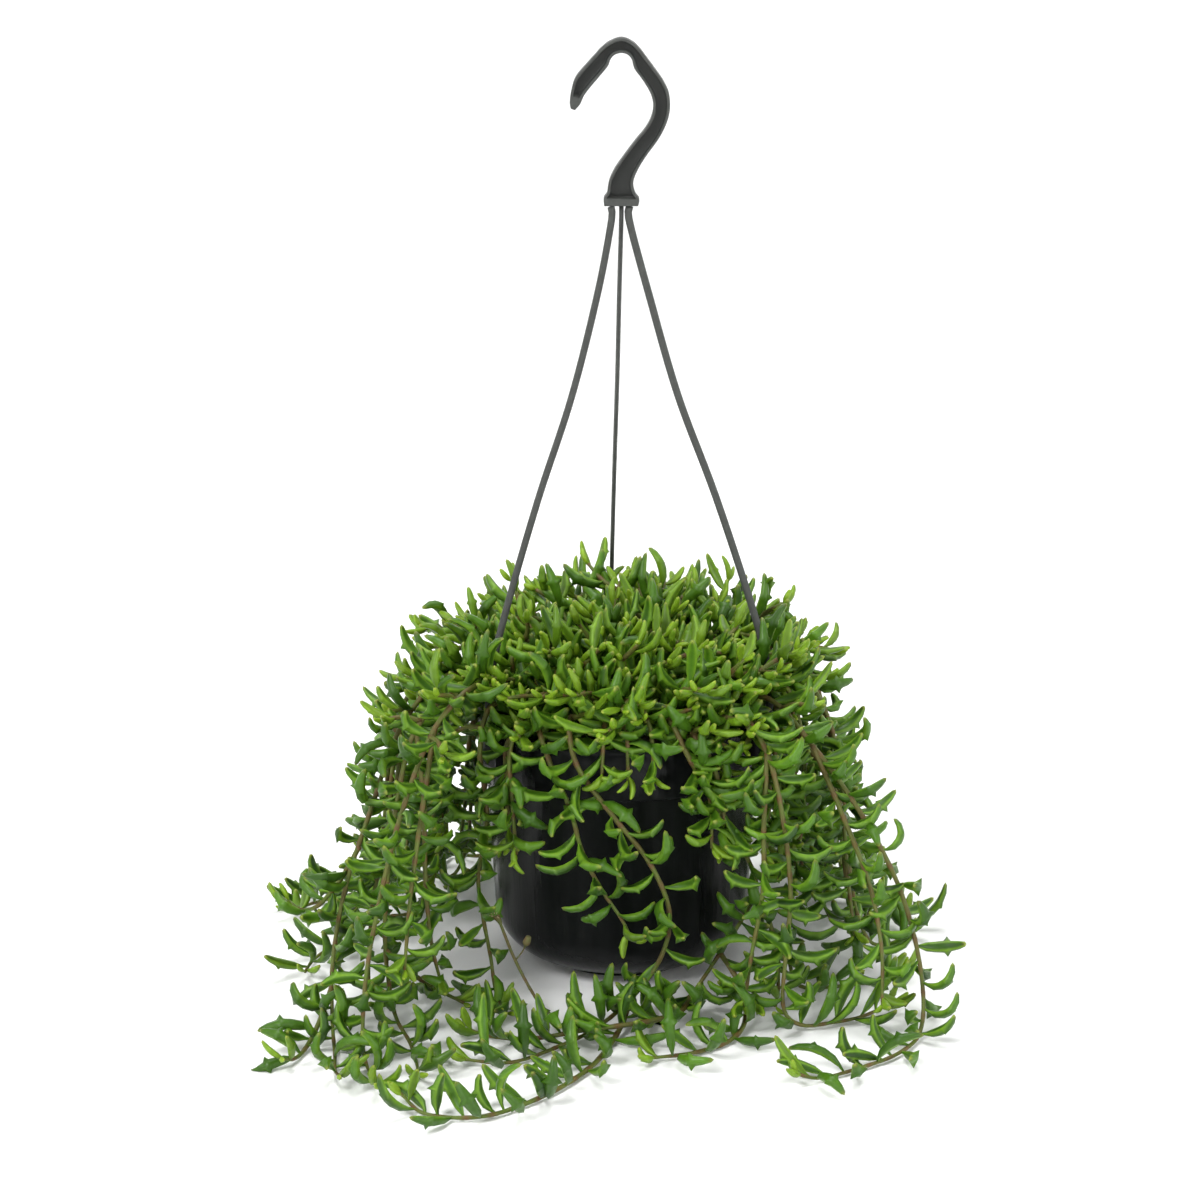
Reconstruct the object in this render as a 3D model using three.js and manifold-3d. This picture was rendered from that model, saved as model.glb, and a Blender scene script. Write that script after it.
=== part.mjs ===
// Potted string of dolphins: a trailing succulent rooted in a 150 mm plastic hanging pot
// with its three-wire hanger, standing on its foot with the longest stems on the surface.
// Millimetres. +Z is up, +X is right, -Y is the front. The origin is the centre of the foot.

import * as THREE from 'three';
import { mergeVertices } from 'three/addons/utils/BufferGeometryUtils.js';
import Module from 'manifold-3d';

const wasm = await Module();
wasm.setup();

// ---------------------------------------------------------------- driving dimensions

const GAP = 0.3;
const TURN = 2 * Math.PI;

const POT = {
  height: 137,
  rimRadius: 75,
  bandHeight: 28,
  shoulderRadius: 71.2,
  cornerTopRadius: 67,
  cornerZ: 28,
  cornerRadius: 24,
  footRadius: 42.5,
  footHeight: 3.2,
  wall: 1.8,
  floor: 2.4,
  segments: 36,
};

const DRAIN = { radius: 3.5, circleRadius: 27, count: 6, sides: 8 };
const SOIL = { top: 126, radius: 67.6, chamfer: 1.5 };

const LUG = { azimuths: [94, 216, 336], inner: 74, outer: 82.6, width: 11, low: 119, high: 130 };
const SLOT = { inner: 75.7, outer: 81.6, width: 3.4 };

const WIRE = { width: 4.1, thickness: 2.4, sides: 8, steps: 20, straight: 8 };
const BARB = { width: 8, thickness: 3, low: 112, high: 118.4 };

const HOOK = { collarZ: 398, depth: 8, web: 2.2, lip: 1.4, samples: 50, pocketFrom: 3, pocketTo: 46 };

const STEM = { radius: 1.35, sides: 4, step: 17 };
const LEAF = { length: 25, halfWidth: 2.6, halfThickness: 2.3, firstAt: 20, spacing: 27 };
const GOLDEN_ANGLE = TURN * 0.381966;

// ---------------------------------------------------------------- materials

const finish = (color, roughness) =>
  new THREE.MeshStandardMaterial({ color, roughness, metalness: 0 });

const potPlastic = finish(0x15171a, 0.25);
const hangerPlastic = finish(0x3a4242, 0.45);
const pottingSoil = finish(0x2d2119, 0.95);
const plantGreen = finish(0x5c9a3c, 0.45);

// ---------------------------------------------------------------- solids and placing

const group = new THREE.Group();

// A closed geometry with its shared vertices merged, as a manifold solid.
function solid(geometry) {
  geometry.deleteAttribute('normal');
  geometry.deleteAttribute('uv');
  const merged = mergeVertices(geometry, 1e-4);
  const vertProperties = new Float32Array(merged.attributes.position.array);
  const triVerts = new Uint32Array(merged.index.array);
  return new wasm.Manifold(new wasm.Mesh({ numProp: 3, vertProperties, triVerts }));
}

// A manifold solid back as a named mesh in the group.
function place(name, shape, material) {
  const { vertProperties, triVerts } = shape.getMesh();
  const geometry = new THREE.BufferGeometry();
  geometry.setAttribute('position', new THREE.BufferAttribute(vertProperties, 3));
  geometry.setIndex(new THREE.BufferAttribute(triVerts, 1));
  geometry.computeVertexNormals();
  const mesh = new THREE.Mesh(geometry, material);
  mesh.name = name;
  group.add(mesh);
}

const degrees = (angle) => (angle * Math.PI) / 180;

const polar = (radius, azimuth, z) =>
  new THREE.Vector3(radius * Math.cos(degrees(azimuth)), radius * Math.sin(degrees(azimuth)), z);

// A lathe profile of [radius, height] pairs, turned about Z.
function turned(profile, segments) {
  const points = profile.map(([radius, z]) => new THREE.Vector2(radius, z));
  return solid(new THREE.LatheGeometry(points, segments).rotateX(Math.PI / 2));
}

// An upright block between two radii at an azimuth.
function radialBlock(azimuth, inner, outer, width, low, high) {
  const block = new THREE.BoxGeometry(outer - inner, width, high - low);
  block.translate((inner + outer) / 2, 0, (low + high) / 2);
  return solid(block.rotateZ(degrees(azimuth)));
}

const smooth = (points) => new THREE.CatmullRomCurve3(points, false, 'catmullrom', 0.5);

// An elliptical bar along a smooth path through the given points.
function bar(points, halfX, halfY, sides, steps) {
  const section = new THREE.Shape();
  for (let i = 0; i < sides; i += 1) {
    const angle = (TURN * (i + 0.5)) / sides;
    const corner = [halfX * Math.cos(angle), halfY * Math.sin(angle)];
    if (i === 0) section.moveTo(...corner);
    else section.lineTo(...corner);
  }
  section.closePath();
  const extrudePath = smooth(points);
  return solid(new THREE.ExtrudeGeometry(section, { steps, extrudePath, bevelEnabled: false }));
}

// ---------------------------------------------------------------- pot and soil

// Points of a quarter round in the pot's lower corner, from its bottom to its side.
function cornerArc(radius, steps) {
  const points = [];
  for (let i = 0; i <= steps; i += 1) {
    const angle = (Math.PI / 2) * (i / steps);
    const r = POT.cornerTopRadius - POT.cornerRadius + radius * Math.sin(angle);
    points.push([r, POT.cornerZ - radius * Math.cos(angle)]);
  }
  return points;
}

const bandLow = POT.height - POT.bandHeight;
const footInner = POT.footRadius - POT.wall - 1;

function potBody() {
  const outside = [
    [0, 0],
    [POT.footRadius - 0.6, 0],
    [POT.footRadius, 0.6],
    [POT.footRadius, POT.footHeight],
    ...cornerArc(POT.cornerRadius, 4),
    [POT.shoulderRadius, bandLow],
    [POT.rimRadius - 0.8, bandLow],
    [POT.rimRadius, bandLow + 1.5],
    [POT.rimRadius, POT.height - 1],
    [POT.rimRadius - 1, POT.height],
  ];
  const inside = [
    [POT.rimRadius - 2.4, POT.height],
    [POT.rimRadius - 2.6, bandLow + 3],
    [POT.shoulderRadius - POT.wall, bandLow],
    ...cornerArc(POT.cornerRadius - POT.wall, 4).reverse(),
    [footInner, POT.floor],
    [0, POT.floor],
  ];
  let body = turned([...outside, ...inside], POT.segments);
  for (const azimuth of LUG.azimuths) {
    const lug = radialBlock(azimuth, LUG.inner, LUG.outer, LUG.width, LUG.low, LUG.high);
    const slot = radialBlock(azimuth, SLOT.inner, SLOT.outer, SLOT.width, LUG.low - 1, LUG.high + 1);
    body = body.add(lug.subtract(slot));
  }
  for (let i = 0; i < DRAIN.count; i += 1) {
    const drill = new THREE.CylinderGeometry(DRAIN.radius, DRAIN.radius, 12, DRAIN.sides);
    drill.rotateX(Math.PI / 2);
    const centre = polar(DRAIN.circleRadius, (360 * i) / DRAIN.count, 0);
    drill.translate(centre.x, centre.y, centre.z);
    body = body.subtract(solid(drill));
  }
  return body;
}

function soilPlug() {
  const side = cornerArc(POT.cornerRadius - POT.wall - GAP - 0.1, 3);
  return turned([
    [0, POT.floor + GAP],
    [footInner - GAP, POT.floor + GAP],
    ...side,
    [SOIL.radius, SOIL.top - SOIL.chamfer],
    [SOIL.radius - SOIL.chamfer, SOIL.top],
    [0, SOIL.top],
  ], POT.segments);
}

place('pot', potBody(), potPlastic);
place('soil', soilPlug(), pottingSoil);

// ---------------------------------------------------------------- hanger

// The hook's two edges above its collar, from the collar round to its tip: each row is a point
// [x, z] of the outer edge and the point of the inner edge across from it.
const HOOK_EDGES = [
  [[8.3, 0], [-8.6, 0]],
  [[8.8, 3.2], [-8.8, 3.6]],
  [[6.9, 6], [-7.2, 6.2]],
  [[5.9, 9.5], [-6.7, 9.5]],
  [[6.2, 13.5], [-5.8, 13.2]],
  [[8.6, 19], [-3.4, 18.2]],
  [[12.6, 25.4], [0.6, 24]],
  [[18, 32.8], [6.6, 32]],
  [[21.8, 40], [12.6, 39.6]],
  [[23.7, 47], [15.4, 47]],
  [[23.4, 54.9], [14.8, 54]],
  [[20.5, 61.4], [11.2, 60.8]],
  [[15.5, 68.5], [6.8, 66.8]],
  [[11.8, 73.4], [5.7, 69.4]],
  [[9.2, 76.8], [5, 72]],
  [[5.4, 80.4], [3.1, 74.3]],
  [[0, 82.4], [0, 75.2]],
  [[-5.8, 80.6], [-3.3, 74.3]],
  [[-10, 77.4], [-5.4, 72]],
  [[-13, 74.2], [-6.6, 69]],
  [[-17, 69.8], [-10.2, 64.5]],
  [[-22.4, 63.4], [-15.6, 58.2]],
  [[-24.6, 57], [-18.4, 54.4]],
  [[-25.4, 51.5], [-20.3, 50.3]],
  [[-25, 48.2], [-22.8, 47.4]],
];

// The outline through both edges, pulled in by a margin, between two samples.
function hookOutline(margin, first, last) {
  const edge = (side) => smooth(HOOK_EDGES.map((row) => new THREE.Vector3(...row[side], 0)));
  const outer = edge(0);
  const inner = edge(1);
  const right = [];
  const left = [];
  for (let i = first; i <= last; i += 1) {
    const from = outer.getPoint(i / HOOK.samples);
    const to = inner.getPoint(i / HOOK.samples);
    const inwards = to.clone().sub(from).normalize().multiplyScalar(margin);
    right.push(new THREE.Vector2(from.x + inwards.x, from.y + inwards.y));
    left.push(new THREE.Vector2(to.x - inwards.x, to.y - inwards.y));
  }
  return new THREE.Shape([...right, ...left.reverse()]);
}

// A flat plate standing in the XZ plane, from its shape and its two Y faces.
function standingPlate(shape, near, far) {
  const plate = new THREE.ExtrudeGeometry(shape, { depth: far - near, bevelEnabled: false });
  plate.rotateX(Math.PI / 2);
  plate.translate(0, far, HOOK.collarZ);
  return solid(plate);
}

function hook() {
  const half = HOOK.depth / 2;
  const pocket = hookOutline(HOOK.lip, HOOK.pocketFrom, HOOK.pocketTo);
  const front = standingPlate(pocket, -half - 1, -HOOK.web / 2);
  const back = standingPlate(pocket, HOOK.web / 2, half + 1);
  return standingPlate(hookOutline(0, 0, HOOK.samples), -half, half).subtract(front).subtract(back);
}

// How far a wire stands from the pot's axis at each height, from the collar to the lug.
const WIRE_RUN = [
  [15, 354],
  [31, 304],
  [51.5, 255],
  [70, 205],
  [80, 173],
  [83, 151],
  [80.8, 140],
  [79, 132],
  [78.7, 123],
  [78.7, 114],
];

// Each wire's distance from the hook's axis at the collar, and the azimuth of its lug.
const WIRES = {
  back: { start: 1.8, azimuth: LUG.azimuths[0] },
  left: { start: 6.4, azimuth: LUG.azimuths[1] },
  right: { start: 4.4, azimuth: LUG.azimuths[2] },
};

function wirePoints(start, azimuth) {
  const top = HOOK.collarZ - GAP;
  const run = [[start, top], [start, top - WIRE.straight], ...WIRE_RUN];
  return run.map(([radius, z]) => polar(radius, azimuth, z));
}

// A wire's wide side lies in the upright plane of its route, so it is bent in that plane at
// azimuth 0 and turned to its lug.
function wire({ start, azimuth }) {
  const points = wirePoints(start, 0);
  const rod = bar(points, WIRE.thickness / 2, WIRE.width / 2, WIRE.sides, WIRE.steps);
  const middle = WIRE_RUN.at(-1)[0];
  const inner = middle - BARB.thickness / 2;
  const outer = middle + BARB.thickness / 2;
  const barb = radialBlock(azimuth, inner, outer, BARB.width, BARB.low, BARB.high);
  return rod.rotate([0, 0, azimuth]).add(barb);
}

place('hanger_hook', hook(), hangerPlastic);
for (const [side, sizes] of Object.entries(WIRES)) {
  place(`hanger_wire_${side}`, wire(sizes), hangerPlastic);
}

// ---------------------------------------------------------------- stems: where they grow

// A repeatable number from -1 to 1 for a plant feature.
function vary(seed, which) {
  const wave = Math.sin(seed * 12.9898 + which * 78.233) * 43758.5453;
  return 2 * (wave - Math.floor(wave)) - 1;
}

const at = (points) => points.map(([x, y, z]) => new THREE.Vector3(x, y, z));
const ROOT_Z = SOIL.top + 3 * GAP;

// Long stems that fall over the rim where the plant is thin, each as a route and its side
// shoots, in millimetres from the root outwards.
const TRAILING = {
  front_sweep: [
    at([[-18, -48, ROOT_Z], [-21, -56, 146], [-26, -76, 153], [-22, -88, 134], [-4, -88, 107],
      [14, -87, 82], [24, -86, 55], [20, -89, 32], [6, -95, 13], [-12, -112, 4], [-30, -130, 2.4],
      [-54, -149, 2.4], [-78, -151, 5]]),
    at([[5, -96, 12], [0, -112, 5], [-6, -130, 2.4], [-16, -156, 2.4], [-36, -184, 2.4],
      [-64, -206, 2.4], [-92, -204, 2.4], [-105, -190, 6]]),
  ],
  front_right: [
    at([[20, -48, ROOT_Z], [21, -56, 146], [25, -77, 152], [34, -85, 136], [46, -77, 112],
      [60, -66, 84], [69, -59, 58], [62, -67, 44], [50, -80, 30], [37, -92, 15], [25, -99, 5],
      [14, -106, 3]]),
    at([[68, -60, 56], [75, -64, 42], [79, -68, 26], [80, -77, 11], [78, -88, 4]]),
    at([[37, -92, 15], [30, -104, 9], [16, -116, 9.5], [0, -122, 9.5], [-20, -127, 9], [-42, -127, 5],
      [-62, -122, 3], [-78, -112, 3]]),
    at([[50, -80, 30], [60, -92, 17], [62, -108, 6], [54, -124, 2.4], [36, -138, 2.4],
      [12, -146, 3]]),
  ],
  front_middle: [
    at([[-33, -42, ROOT_Z], [-36, -50, 146], [-42, -71, 152], [-36, -83, 135], [-26, -87, 112],
      [-19, -87, 86], [-9, -87, 66], [0, -88, 52], [5, -90, 42]]),
  ],
  front_left: [
    at([[-45, -30, ROOT_Z], [-51, -36, 148], [-66, -58, 154], [-71, -68, 134], [-68, -69, 108],
      [-69, -67, 86], [-73, -63, 65], [-71, -65, 45], [-67, -70, 24], [-64, -78, 7], [-58, -94, 3]]),
  ],
  left_front: [
    at([[-53, -18, ROOT_Z], [-60, -24, 150], [-82, -47, 160], [-103, -66, 145], [-112, -78, 112],
      [-117, -86, 76], [-119, -90, 42], [-117, -92, 15], [-113, -103, 4], [-105, -126, 2.4],
      [-100, -150, 2.4], [-98, -168, 5]]),
    at([[-119, -90, 36], [-107, -86, 22], [-94, -80, 10], [-80, -84, 4]]),
  ],
  left_tall: [
    at([[-46, -20, ROOT_Z], [-54, -34, 153], [-72, -64, 168], [-92, -90, 154], [-108, -108, 116],
      [-118, -120, 78], [-125, -130, 42], [-127, -138, 14], [-125, -150, 4], [-120, -167, 2.4],
      [-116, -183, 6]]),
  ],
  left_outer: [
    at([[-57, -6, ROOT_Z], [-66, -10, 152], [-90, -30, 161], [-112, -50, 140], [-126, -68, 104],
      [-139, -82, 66], [-145, -96, 32], [-144, -116, 9], [-141, -138, 2.4], [-139, -158, 2.4],
      [-135, -172, 6]]),
    at([[-132, -75, 86], [-141, -77, 70], [-153, -74, 54], [-163, -67, 48], [-170, -62, 51]]),
    at([[-145, -104, 22], [-151, -119, 8], [-156, -134, 2.4], [-160, -146, 3], [-165, -155, 7]]),
  ],
  right_front: [
    at([[36, -38, ROOT_Z], [42, -45, 148], [58, -69, 156], [72, -86, 140], [80, -96, 108],
      [84, -100, 72], [82, -104, 40], [81, -109, 13], [90, -110, 4], [105, -104, 2.4],
      [122, -96, 2.4], [138, -87, 6]]),
  ],
  right_outer: [
    at([[46, -28, ROOT_Z], [53, -34, 150], [75, -52, 156], [96, -65, 136], [119, -77, 106],
      [137, -87, 74], [147, -95, 44], [151, -105, 18], [148, -120, 4], [136, -139, 2.4],
      [116, -155, 2.4], [96, -166, 2.4], [84, -171, 7]]),
  ],
  right_low: [
    at([[54, -14, ROOT_Z], [60, -17, 150], [82, -30, 157], [92, -38, 132], [93, -44, 96],
      [89, -51, 60], [86, -59, 26], [90, -64, 6], [104, -61, 2.4], [122, -57, 2.4],
      [136, -54, 3], [146, -50, 7]]),
  ],
};

// A side shoot that leaves a route at one of its points and hangs beside it, turning round the
// pot's axis and moving outwards on its way to another of the route's points.
function besideRoute(route, first, last, turn, out) {
  return route.slice(first, last + 1).map((point, i) => {
    const share = Math.sqrt(i / (last - first));
    const radius = Math.hypot(point.x, point.y) + out * share;
    const azimuth = Math.atan2(point.y, point.x) / degrees(1) + turn * share;
    return polar(radius, azimuth, point.z);
  });
}

// Side shoots beside the long stems: the first and last points that each follows, how far it
// turns in degrees and how far it moves outwards.
const BESIDE = {
  left_front: [[3, 7, 6, -22]],
  left_tall: [[3, 6, 4, -14]],
  left_outer: [[3, 7, -6, -32]],
  right_front: [[3, 7, -7, -12]],
  right_outer: [[3, 7, -7, -10]],
  right_low: [[3, 6, 12, 26]],
};

// Round the sides and back, stems rise from the soil's edge, arch over the rim, hang free
// and run out along the surface, every second one closer to the pot.
const SKIRT = { count: 15, from: -6, to: 177, rootRadius: 58, outer: 120, inner: 102, run: 44 };
const SKIRT_BESIDE = { first: 3, last: 6, turn: 6.5, outer: -4, inner: -5 };

function skirtStem(k) {
  const azimuth = SKIRT.from + ((SKIRT.to - SKIRT.from) * k) / (SKIRT.count - 1) + 1.5 * vary(k, 1);
  const isOuter = k % 2 === 0;
  const reach = (isOuter ? SKIRT.outer : SKIRT.inner) + 5 * vary(k, 2);
  const crest = (isOuter ? 160 : 152) + 2 * vary(k, 3);
  const sway = 3 * vary(k, 4);
  const run = SKIRT.run + 12 * vary(k, 5);
  const swirl = isOuter ? 1 : 0.5;
  return [
    polar(SKIRT.rootRadius, azimuth, ROOT_Z),
    polar(SKIRT.rootRadius + 6, azimuth, crest - 8),
    polar(reach * 0.78, azimuth + 0.3 * sway, crest),
    polar(reach * 0.93, azimuth + 0.6 * sway, crest - 24),
    polar(reach, azimuth + sway, crest - 58),
    polar(reach + 4, azimuth + 0.6 * sway, crest - 96),
    polar(reach + 9, azimuth, 28),
    polar(reach + 17, azimuth + 1.5, 7),
    polar(reach + 17 + 0.35 * run, azimuth + 5 * swirl, 2.4),
    polar(reach + 17 + 0.62 * run, azimuth + 11 * swirl, 2.4),
    polar(reach + 17 + 0.8 * run, azimuth + 18 * swirl, 5),
  ];
}

function skirtRoutes(k) {
  const { first, last, turn, outer, inner } = SKIRT_BESIDE;
  const main = skirtStem(k);
  return [main, besideRoute(main, first, last, turn, k % 2 === 0 ? outer : inner)];
}

// Short stems that only spill over the rim beside the long ones.
const SPILL = { azimuths: [196, 232, 294, 320], radius: 62, reach: 94, drop: 70 };
const SPILL_BESIDE = [[-7, 0], [-8, -10], [5, 0], [-6, 0]];

function spillStem(k) {
  const azimuth = SPILL.azimuths[k];
  const reach = SPILL.reach + 3 * vary(k, 12);
  const low = 150 - SPILL.drop + 10 * vary(k, 13);
  return [
    polar(SPILL.radius, azimuth, ROOT_Z),
    polar(SPILL.radius + 5, azimuth, 144),
    polar(reach - 12, azimuth, 150),
    polar(reach, azimuth + 1, 136),
    polar(reach + 3, azimuth + 3, 114),
    polar(reach + 2, azimuth + 4, low),
  ];
}

function spillRoutes(k) {
  const main = spillStem(k);
  return [main, besideRoute(main, 2, main.length - 1, ...SPILL_BESIDE[k])];
}

// The crown: rings of shoots that rise from the soil and lean outwards, each with one side
// shoot. lean is where a ring's tips stand and tip is how high.
const CROWN = [
  { name: 'centre', count: 4, rootRadius: 11, lean: 24, tip: 187, turn: 20 },
  { name: 'middle', count: 8, rootRadius: 26, lean: 60, tip: 181, turn: 5 },
  { name: 'edge', count: 11, rootRadius: 42, lean: 92, tip: 169, turn: 1.2 },
];

// Side shoots that droop over the front of the rim: the azimuths where they hang, by the place
// of the edge shoot that they grow from.
const DROOP = { 8: [264, 272], 9: [280, 303] };

function droopShoot(fork, azimuth) {
  return [
    fork,
    polar(68, azimuth, 156),
    polar(84, azimuth, 150),
    polar(90, azimuth, 138),
    polar(90, azimuth, 127),
  ];
}

function crownShoot(ring, k) {
  const seed = ring.rootRadius + k;
  const step = 360 / ring.count;
  const azimuth = ring.turn + step * k + 0.08 * step * vary(seed, 6);
  const lean = ring.lean + 5 * vary(seed, 7);
  const tip = ring.tip + 5 * vary(seed, 8);
  const rise = tip - ROOT_Z;
  const spread = lean - ring.rootRadius;
  const fork = polar(ring.rootRadius + 0.16 * spread, azimuth, ROOT_Z + 0.5 * rise);
  const main = [
    polar(ring.rootRadius, azimuth, ROOT_Z),
    fork,
    polar(ring.rootRadius + 0.55 * spread, azimuth - 0.08 * step, ROOT_Z + 0.84 * rise),
    polar(lean, azimuth - 0.14 * step, tip),
  ];
  const side = [
    fork,
    polar(ring.rootRadius + 0.5 * spread, azimuth + 0.24 * step, ROOT_Z + 0.76 * rise),
    polar(lean * 0.97, azimuth + 0.42 * step, tip - 5),
  ];
  const droops = ring.name === 'edge' ? DROOP[k] ?? [] : [];
  return [main, side, ...droops.map((where) => droopShoot(fork, where))];
}

// A flower stalk from the left of the pot's foot: thin, bare, with one bud and one dried head.
const FLOWER_STALK = at([[-33, -100, 2.2], [-43, -90, 9], [-54, -80, 26], [-62, -76, 46]]);

function allStems() {
  const stems = [];
  for (const [name, routes] of Object.entries(TRAILING)) {
    const beside = (BESIDE[name] ?? []).map((where) => besideRoute(routes[0], ...where));
    stems.push([`stem_${name}`, [...routes, ...beside]]);
  }
  for (let k = 0; k < SKIRT.count; k += 1) stems.push([`stem_skirt_${k + 1}`, skirtRoutes(k)]);
  SPILL.azimuths.forEach((_, k) => stems.push([`stem_spill_${k + 1}`, spillRoutes(k)]));
  for (const ring of CROWN) {
    for (let k = 0; k < ring.count; k += 1) {
      stems.push([`shoot_${ring.name}_${k + 1}`, crownShoot(ring, k)]);
    }
  }
  return stems;
}

// ---------------------------------------------------------------- leaves

// A leaf is a spindle bent along an arc: it leaves the stem outwards, dips a little and
// curls up to its point. bend is the whole turn and dip the angle below outwards at its base.
function leafCurve(bend, dip, share) {
  const radius = LEAF.length / bend;
  const angle = bend * share - dip;
  const out = radius * (Math.sin(angle) + Math.sin(dip));
  const rise = radius * (Math.cos(dip) - Math.cos(angle));
  return { out, rise, angle };
}

function leafGeometry(base, outward, upward, bend, dip) {
  const side = new THREE.Vector3().crossVectors(outward, upward);
  const spindle = new THREE.SphereGeometry(1, 3, 2);
  const position = spindle.attributes.position;
  for (let i = 0; i < position.count; i += 1) {
    const { out, rise, angle } = leafCurve(bend, dip, (position.getY(i) + 1) / 2);
    const thick = position.getZ(i) * LEAF.halfThickness;
    const point = base.clone();
    point.addScaledVector(outward, out - thick * Math.sin(angle));
    point.addScaledVector(upward, rise + thick * Math.cos(angle));
    point.addScaledVector(side, position.getX(i) * LEAF.halfWidth);
    position.setXYZ(i, point.x, point.y, point.z);
  }
  return spindle;
}

// The frame of a leaf on a stem: outwards leans to the tip, upwards is as near +Z as it can.
function leafFrame(along, angle) {
  const up = new THREE.Vector3(0, 0, 1);
  const reference = Math.abs(along.z) > 0.9 ? new THREE.Vector3(1, 0, 0) : up;
  const across = new THREE.Vector3().crossVectors(along, reference).normalize();
  const over = new THREE.Vector3().crossVectors(across, along);
  const outward = across.multiplyScalar(Math.cos(angle)).addScaledVector(over, Math.sin(angle));
  outward.z = Math.max(outward.z, -0.1);
  outward.addScaledVector(along, 0.45).normalize();
  const upward = up.addScaledVector(along, 0.3);
  upward.addScaledVector(outward, -upward.dot(outward)).normalize();
  return { outward, upward };
}

// Ball proxies of what is already in place, each { point, radius, owner }.
const occupied = [];

function isClear(point, radius, owner) {
  if (point.z < radius + 0.4) return false;
  const outwards = Math.hypot(point.x, point.y);
  const isBelowRim = point.z < POT.height + radius;
  if (isBelowRim && outwards < POT.rimRadius + radius) return false;
  if (isBelowRim && outwards < LUG.outer + radius && point.z > LUG.low - radius) return false;
  const blocked = (ball) => ball.owner !== owner
    && ball.point.distanceTo(point) < ball.radius + radius + 0.5;
  return !occupied.some(blocked);
}

function occupyRoute(points, radius, owner) {
  const curve = smooth(points);
  const count = Math.ceil(curve.getLength() / 3);
  for (const point of curve.getSpacedPoints(count)) occupied.push({ point, radius, owner });
}

const stemSteps = (curve) => Math.max(4, Math.round(curve.getLength() / STEM.step));

// Where a straight-sided rod's centre line is, at a share of its length, and its direction.
function onRod(corners, share) {
  const reach = Math.min(share, 0.999) * (corners.length - 1);
  const from = corners[Math.floor(reach)];
  const to = corners[Math.floor(reach) + 1];
  return {
    base: from.clone().lerp(to, reach - Math.floor(reach)),
    along: to.clone().sub(from).normalize(),
  };
}

// Leaves along one route, each in the first of a few turns where it has room.
function leavesOn(points, owner) {
  const curve = smooth(points);
  const corners = curve.getSpacedPoints(stemSteps(curve));
  const length = curve.getLength();
  const leaves = [];
  for (let distance = LEAF.firstAt, k = 0; distance <= length; distance += LEAF.spacing, k += 1) {
    const { base, along } = onRod(corners, distance / length);
    const hanging = along.z < -0.4;
    const bend = hanging ? 1.9 : 1.3;
    const dip = hanging ? 0.6 : 0.1;
    for (let attempt = 0; attempt < 6; attempt += 1) {
      const { outward, upward } = leafFrame(along, GOLDEN_ANGLE * (k + attempt * 1.7));
      const spots = [0.3, 0.5, 0.7, 0.9].map((part) => {
        const { out, rise } = leafCurve(bend, dip, part);
        return base.clone().addScaledVector(outward, out).addScaledVector(upward, rise);
      });
      if (spots.every((spot) => isClear(spot, 3, owner))) {
        leaves.push(solid(leafGeometry(base, outward, upward, bend, dip)));
        spots.forEach((point) => occupied.push({ point, radius: 3, owner }));
        break;
      }
    }
  }
  return leaves;
}

// A side shoot's route, started on the straight-sided rod that it grows from.
function forkFrom(mainRoute, sideRoute) {
  const curve = smooth(mainRoute);
  const corners = curve.getSpacedPoints(stemSteps(curve));
  const start = sideRoute[0];
  let best = corners[0];
  for (let i = 0; i + 1 < corners.length; i += 1) {
    const nearest = new THREE.Line3(corners[i], corners[i + 1])
      .closestPointToPoint(start, true, new THREE.Vector3());
    if (nearest.distanceTo(start) < best.distanceTo(start)) best = nearest;
  }
  return [best, ...sideRoute.slice(1)];
}

const stemRod = (points) =>
  bar(points, STEM.radius, STEM.radius, STEM.sides, stemSteps(smooth(points)));

// One grown piece: its rods and its leaves joined.
function grow(name, [mainRoute, ...sideRoutes]) {
  const routes = [mainRoute, ...sideRoutes.map((route) => forkFrom(mainRoute, route))];
  const parts = routes.flatMap((route) => [stemRod(route), ...leavesOn(route, name)]);
  return parts.reduce((piece, part) => piece.add(part));
}

function flowerStalk() {
  const thin = STEM.radius * 0.6;
  const tip = FLOWER_STALK.at(-1);
  const head = new THREE.SphereGeometry(4, 6, 4).translate(tip.x, tip.y, tip.z);
  return bar(FLOWER_STALK, thin, thin, STEM.sides, 6).add(solid(head));
}

const stems = allStems();
for (const { start, azimuth } of Object.values(WIRES)) {
  occupyRoute(wirePoints(start, azimuth), WIRE.width / 2, 'hanger');
}
for (const [name, routes] of stems) {
  for (const route of routes) occupyRoute(route, STEM.radius, name);
}
occupyRoute(FLOWER_STALK, 2.5, 'flower_stalk');
for (const [name, routes] of stems) place(name, grow(name, routes), plantGreen);
place('flower_stalk', flowerStalk(), plantGreen);

export default group;
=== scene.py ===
"""Potted string of dolphins: the looks of a trailing succulent in a hanging pot.

The file is laid out as an add-on and run as a script. Every surface is worked out with numpy
from a few named sizes, in metres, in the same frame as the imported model: +Z up, -Y the front.
"""

import math

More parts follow.
